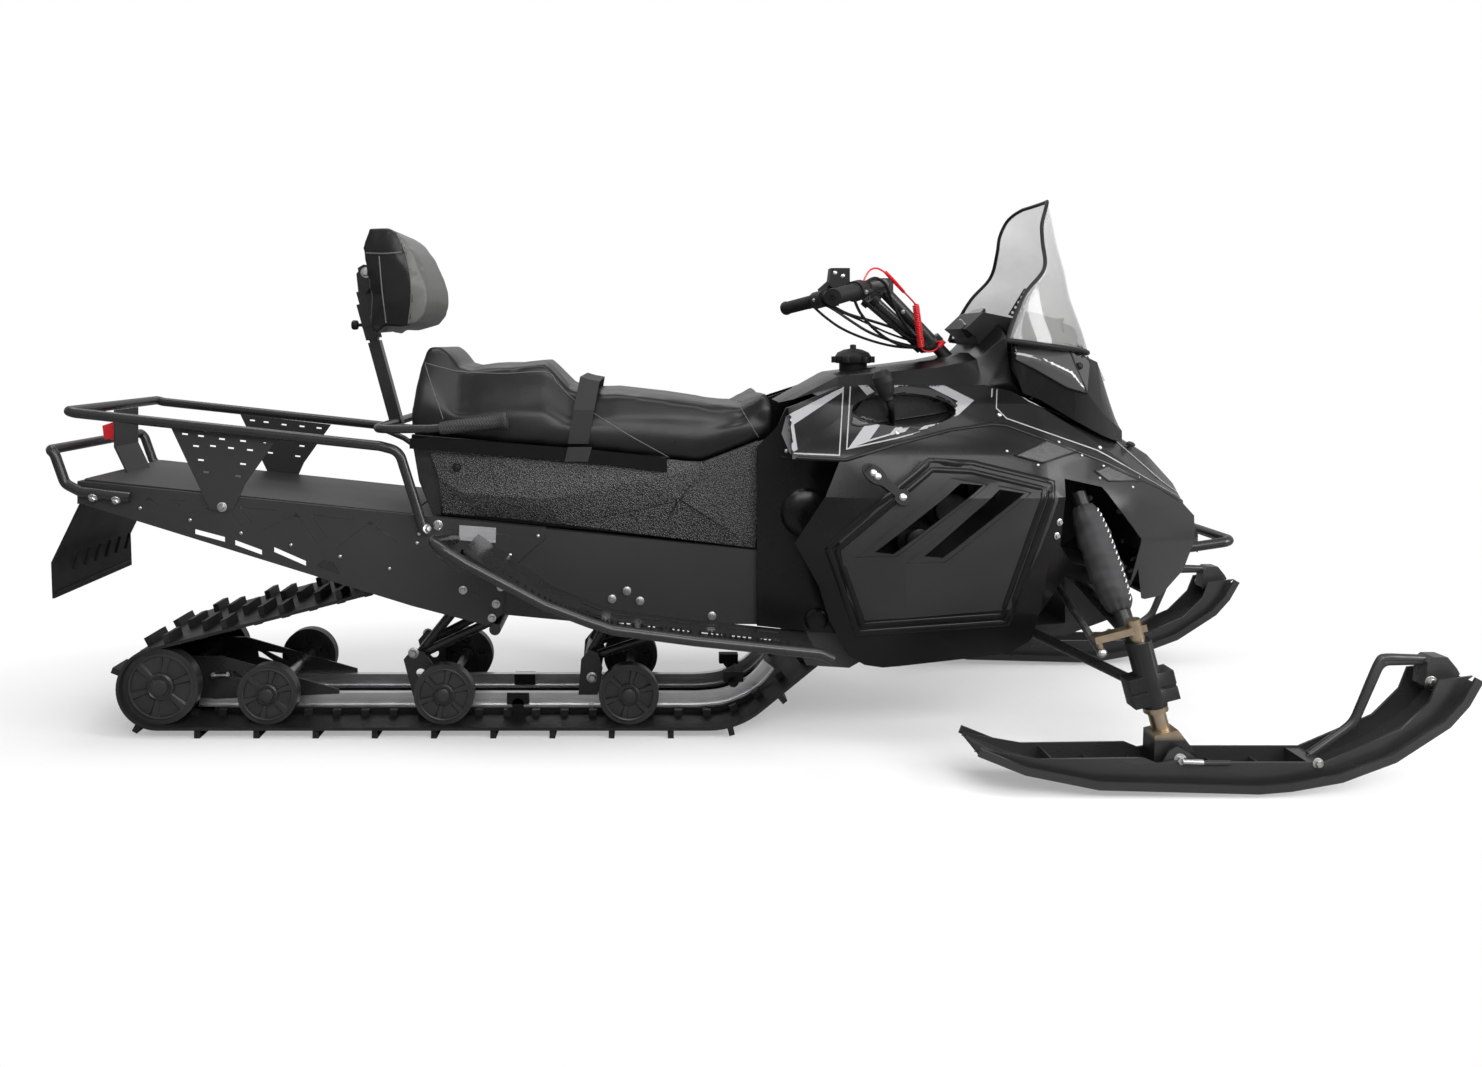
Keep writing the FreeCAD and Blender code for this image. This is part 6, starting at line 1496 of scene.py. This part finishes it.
def add_flap_ribs():
    run = FLAP_FOOT - FLAP_TOP
    face = Vector((-run.z, 0, run.x)).normalized()
    face = face if face.x > 0 else -face
    ribs = Shapes()
    for k in range(6):
        y = -0.125 + 0.051 * k
        spot = FLAP_TOP + run * 0.72 + LEFT * y
        long = run.normalized() * 0.020
        ribs.tube([spot - long + face * 0.0042, spot + long + face * 0.0042], 0.0036, 8)
    for t in (0.06, 0.95):
        spot = FLAP_TOP + run * t + face * 0.0042
        ribs.tube([spot - LEFT * FLAP_HALF * 0.96, spot + LEFT * FLAP_HALF * 0.96], 0.0034, 8)
    ribs.piece("flap_ribs", "soft_rubber", angle=60)


add_flap_ribs()

# Blank rating plate, bent cut lines and dark notches on the tunnel's side
RATING_PLATE = [(459.4, 525), (496.2, 527.7), (495.6, 543), (459.2, 540)]
CUT_LINES = [[(169, 499.5), (186, 500.5)], [(169, 499.5), (180, 505)],
             [(144, 502), (148.5, 498), (159, 505.5)], [(189.7, 513), (210.4, 507.5)],
             [(232, 513.5), (241.5, 525.5)], [(276, 510.5), (240, 507), (252.5, 523)],
             [(262, 530.5), (296.5, 514), (319, 544.5)], [(353.5, 519.7), (311.5, 514.7), (327.5, 539)],
             [(335.5, 548.5), (370, 522), (396, 541)], [(448.5, 529), (508, 535.5), (510.5, 539)],
             [(545.5, 528), (545.5, 538.5), (516, 565), (513.5, 571)],
             [(457.5, 573), (437, 556.5), (452, 560)], [(488, 579), (474, 592), (485.5, 603.5)]]
CUT_NOTCHES = [[(145, 500), (148.5, 497.5), (152.5, 500)], [(293, 516), (296.5, 513), (300.5, 517)],
               [(367, 524), (370, 521), (374, 524.5)], [(316, 566), (324, 560), (334, 563), (340, 574)]]


def add_tunnel_marks():
    skin = skin_of("tunnel", "tunnel_extension")
    laid_film("rating_plate", [RATING_PLATE], skin, "blank_plate", 0.0012, mirror=False)
    cuts = Shapes()
    for line in CUT_LINES:
        track = traced(skin, line, 4.0)
        if len(track) > 1:
            cuts.bead(track, 0.0022, 0.0009, 4)
    cuts.twin().piece("tunnel_cut_lines", "ball_cap")
    laid_film("tunnel_notches", CUT_NOTCHES, skin, "ball_cap", 0.0010)
    plate = Shapes()
    place, _ = seen_at(skin, 477, 541)
    for u, v in ((461, 526.7), (494.6, 529.3), (494, 541.4), (461, 538.6)):
        plate.rivet(on_plane(u, v, place.y - 0.0012), RIGHT, 0.0014)
    plate.piece("rating_plate_pins", "zinc_steel")


add_tunnel_marks()

# Running boards: three rows of teeth along each tread
TREAD_EDGE = [(462, 552), (480, 560), (545, 599), (590, 617), (612, 623), (700, 633), (794, 645)]


def add_treads():
    teeth = Shapes()
    for y in (-0.262, -0.318, -0.372):
        line = [on_plane(u, v, y) for u, v in TREAD_EDGE]
        line = smooth_line([Vector((p.x, y, p.z - 0.004)) for p in line], 10)
        for a, b in zip(line, line[1:]):
            steps = max(1, round((b - a).length / 0.014))
            for k in range(steps):
                p = a.lerp(b, k / steps)
                run = (b - a).normalized()
                teeth.rings([oblong(p, run, 0.0048, LEFT, -0.002, 0.002),
                             oblong(p + UP * 0.010, run, 0.0014, LEFT, -0.002, 0.002)])
    teeth.twin().piece("board_teeth", "dark_anodised", angle=20)


add_treads()

# Bolts in the shock wells, at the bumper and the rack, and fittings on the skis and the nose
WELL_BOLTS = [(1066.7, 485), (1072.5, 503), (1089.7, 498), (1119.4, 511.7), (1059.6, 522.3), (1057, 536),
              (1122.6, 541.7), (1133, 558.9), (1130.7, 570.8)]
dotted("well_bolts", WELL_BOLTS, skin_of("body_shell", "bulkhead", "suspension_arms"), 0.0050, "bolt")
dotted("bumper_bolts", [(93, 497.5), (116, 500)], skin_of("rear_bumper", "tunnel_extension"), 0.0070, "bolt")
dotted("rack_bolts", [(222, 507), (427, 529), (438, 525)],
       skin_of("rack_plates", "rack_rail", "tunnel_extension"), 0.0072, "bolt")
SADDLE = [(1157, 778), (1160, 765), (1169, 750), (1177, 746), (1188, 752), (1213, 770), (1224, 779)]
SKI_LOOP = [(1309, 755), (1334, 737), (1352, 723), (1361, 705), (1371, 681), (1380, 661.5), (1386, 658),
            (1404, 658.3), (1423, 659)]
SKI_MIDDLE, SADDLE_HALF = -0.45, 0.037


def add_ski_fittings(side, name):
    """Side plates over the spindle's foot, the towing loop's thick sleeve, and bolt heads on one ski."""
    body, skin = "spindle_" + name, skin_of("ski_right")
    plates, heads, loop = Shapes(), Shapes(), Shapes()
    for y in (SKI_MIDDLE - SADDLE_HALF, SKI_MIDDLE + SADDLE_HALF):
        over = LEFT * (y - SKI_MIDDLE + SADDLE_HALF)
        plates.plate([on_plane(u, v, SKI_MIDDLE - SADDLE_HALF) + over for u, v in SADDLE], RIGHT * 0.004)
    for u, v, radius in ((1318, 763.5, 0.0072), (1431, 682, 0.0078)):
        place, normal = seen_at(skin, u, v)
        heads.bolt(place, normal, radius)
    pin = on_plane(1180, 760, SKI_MIDDLE - SADDLE_HALF - 0.004)
    heads.bolt(pin, RIGHT, 0.0085)
    heads.tube([pin + RIGHT * 0.010, pin + RIGHT * 0.010 + FORWARD * 0.040 - UP * 0.001], 0.0055, 12)
    grip = [pin + RIGHT * 0.010 + FORWARD * x - UP * 0.002 for x in (0.040, 0.095)]
    loop.tube(grip, 0.0048, 12)
    loop.tube(smooth_line([on_plane(u, v, SKI_MIDDLE) for u, v in SKI_LOOP], 6), 0.0088, 14)
    for shapes, label, finish_name in ((plates, "ski_saddles_", "ski_plastic"),
                                       (heads, "ski_bolts_", "zinc_steel"),
                                       (loop, "ski_loops_", "ski_plastic")):
        if side < 0:
            bmesh.ops.scale(shapes.bm, vec=(1, -1, 1), verts=shapes.bm.verts)
            bmesh.ops.reverse_faces(shapes.bm, faces=shapes.bm.faces)
        shapes.piece(label + name, finish_name, body, 45)


add_ski_fittings(1, "right")
add_ski_fittings(-1, "left")
knob = Shapes()
place, normal = seen_at(BODY_SKIN, 1129, 449)
CATCH = [(0.006, -0.002), (0.005, 0.008), (0.009, 0.009), (0.010, 0.014), (0.006, 0.017), (0.002, 0.0175)]
knob.lathe(CATCH, place, (normal + UP * 1.4).normalized(), 20)
knob.twin().piece("nose_catches", "ball_cap", angle=50)


# A dark sheet inside the shell, behind the louvres: painted shade, standing for the dark inside of the engine
# bay
SHADE_SHEET = [(0.30, 0.34), (0.30, 0.66), (0.62, 0.70), (0.80, 0.62), (0.90, 0.56), (0.90, 0.44), (0.80, 0.36),
          (0.60, 0.30)]
shade_sheet = Shapes()
shade_sheet.plate([Vector((x, -0.004, z)) for x, z in SHADE_SHEET], LEFT * 0.008)
shade_sheet.piece("painted_shade_sheet", "dark_anodised")


# Handlebar arms, clamps, leads and the stop switch's collar
ARM_TOP, ARM_LOW = Vector((0.381, -0.040, 0.993)), Vector((0.520, -0.018, 0.870))
POST_SIDE = Vector((0.545, -0.008, 0.880))
BAR_CLAMP = [(0.0120, 0), (0.0172, 0.0005), (0.0178, 0.003), (0.0178, 0.010), (0.0172, 0.0125),
             (0.0120, 0.013)]
ARM_CLAMP = [(0.0115, 0), (0.0165, 0.001), (0.0165, 0.017), (0.0115, 0.018)]
COLLAR = [(0.0045, -0.016), (0.0125, -0.015), (0.0135, -0.012), (0.0135, -0.002), (0.0110, 0.001),
          (0.0030, 0.0015)]
LEADS = [([(0.292, -0.300, 0.985), (0.318, -0.240, 0.952), (0.355, -0.190, 0.920), (0.405, -0.120, 0.893),
           (0.460, -0.060, 0.876), (0.522, -0.026, 0.872)], 0.0034),
         ([(0.305, -0.275, 0.990), (0.345, -0.210, 0.968), (0.395, -0.125, 0.938), (0.445, -0.058, 0.908),
           (0.508, -0.026, 0.884)], 0.0027)]


def add_bar_arms():
    along = (ARM_LOW - ARM_TOP).normalized()
    arms = Shapes()
    bend = [ARM_TOP + Vector((0.017, 0, 0.018)), ARM_TOP + Vector((0.006, 0, 0.010)), ARM_TOP + along * 0.010]
    arms.tube(bend + [ARM_LOW, POST_SIDE], 0.0115, 16)
    arms.twin().piece("bar_arms", "tube_paint", "steering")
    clamps = Shapes()
    run = (BAR_TIP - BAR_BEND).normalized()
    for gap in (0.012, 0.196, 0.214):
        foot = BAR_TIP - run * gap if gap > 0.1 else BAR_BEND + run * gap
        clamps.lathe(BAR_CLAMP, foot, run, 20)
        screw = foot + run * 0.0065 - UP * 0.026 + FORWARD * 0.008
        clamps.lathe([(0.0045, 0), (0.0045, 0.012), (0.0030, 0.013)], screw, UP, 8)
    for share in (0.06, 0.94):
        clamps.lathe(ARM_CLAMP, ARM_TOP.lerp(ARM_LOW, share) - along * 0.009, along, 20)
    clamps.twin().piece("bar_clamps", "grained_plastic", "steering")
    leads = Shapes()
    for route, radius in LEADS:
        leads.tube(smooth_line([Vector(p) for p in route], 8), radius, 8)
    leads.twin().piece("bar_leads", "soft_rubber", "steering")
    collar = Shapes()
    collar.lathe(COLLAR, Vector(TETHER_TOP[0]), UP, 24)
    collar.piece("stop_switch", "grained_plastic", "steering")


add_bar_arms()
BAR_SKIN = skin_of("switch_housings", "steering_riser", "handlebar", "grips")
CONTROL_SCREWS = [(814, 289), (814, 300), (843, 276), (850, 269), (835, 273), (903, 312), (913, 331),
                  (881, 294), (866, 292)]
dotted("control_screws", CONTROL_SCREWS, BAR_SKIN, 0.0034, "bolt", False, "steering")


# Studio: a pale floor that fades to white, a white world and soft lamps
WHITE, BLACK = (1, 1, 1, 1), (0, 0, 0, 1)
FLOOR_HALF = 30.0
LAMPS = [("key_lamp", (0.8, -3.1, 2.3), (3.2, 1.1), 95.0, (0.2, 0, 0.45)),
         ("top_lamp", (-0.3, -0.5, 3.0), (4.4, 0.6), 52.0, (0, 0, 0.4)),
         ("back_lamp", (-1.0, 2.6, 3.0), (4.0, 0.8), 20.0, (0, 0, 0.5)),
         ("front_lamp", (3.3, -1.7, 1.7), (1.1, 1.6), 80.0, (0.6, 0, 0.5))]


def mix_shader(finish, factor, first, second):
    node = finish.tree.nodes.new("ShaderNodeMixShader")
    for socket, value in zip(node.inputs, (factor, first, second)):
        plug(socket, value)
    return Field(node.outputs[0])


def add_floor():
    mesh = bpy.data.meshes.new("floor")
    corners = ((-1, -1), (1, -1), (1, 1), (-1, 1))
    mesh.from_pydata([(x * FLOOR_HALF, y * FLOOR_HALF, 0) for x, y in corners], [], [(0, 1, 2, 3)])
    floor = bpy.data.objects.new("floor", mesh)
    scene.collection.objects.link(floor)
    m = Finish("pale_floor")
    place = m.place()
    x = m.node("SeparateXYZ", vector=place, out=0)
    y = m.node("SeparateXYZ", vector=place, out=1)
    ring = (x / 1.85) * (x / 1.85) + ((y - 0.05) / 0.85) * ((y - 0.05) / 0.85)
    behind = (x * -1.0 + 0.42).math("MULTIPLY", 4.0, clamp=True)
    beside = (y * -1.0 - 0.20).math("MULTIPLY", 6.0, clamp=True) * behind
    far = (ring - 0.6).math("MULTIPLY", 1.5, clamp=True).math("MAXIMUM", beside)
    grain = m.noise(40.0, 3.0)
    lit = m.node("BsdfDiffuse", color=m.mix(grain, (0.86, 0.86, 0.86), (0.9, 0.9, 0.9)))
    white = m.node("Emission", color=WHITE, strength=1.0)
    seen = m.node("LightPath", out=0) + m.node("LightPath", out=6)
    glossy = m.node("LightPath", out=3)
    faded = mix_shader(m, (far * 0.65 + 0.35) * seen, lit, white)
    m.node("OutputMaterial", surface=mix_shader(m, glossy * 0.6, faded, m.node("BsdfDiffuse", color=BLACK)))
    mesh.materials.append(m.owner)


def add_world():
    """White to the camera, paler grey to glossy surfaces and dimmer to the rest."""
    scene.world = bpy.data.worlds.new("studio")
    w = Finish("studio", scene.world)
    seen = (w.node("LightPath", out=0) + w.node("LightPath", out=6)).math("MINIMUM", 1.0)
    glossy = w.node("LightPath", out=3)
    high = w.node("SeparateXYZ", vector=w.node("TexCoord", out=0), out=2)
    mirrored_sky = high * 0.12 + 0.56
    strength = seen + (seen * -1.0 + 1.0) * (glossy * mirrored_sky + (glossy * -1.0 + 1.0) * 0.40)
    w.node("OutputWorld", surface=w.node("Background", color=WHITE, strength=strength))


def add_lamps():
    for name, place, size, power, target in LAMPS:
        lamp = bpy.data.lights.new(name, "AREA")
        lamp.shape = "RECTANGLE"
        lamp.size, lamp.size_y = size
        lamp.energy = power
        stand = bpy.data.objects.new(name, lamp)
        stand.location = place
        stand.rotation_euler = (Vector(target) - Vector(place)).to_track_quat("-Z", "Y").to_euler()
        scene.collection.objects.link(stand)


add_floor()
add_world()
add_lamps()
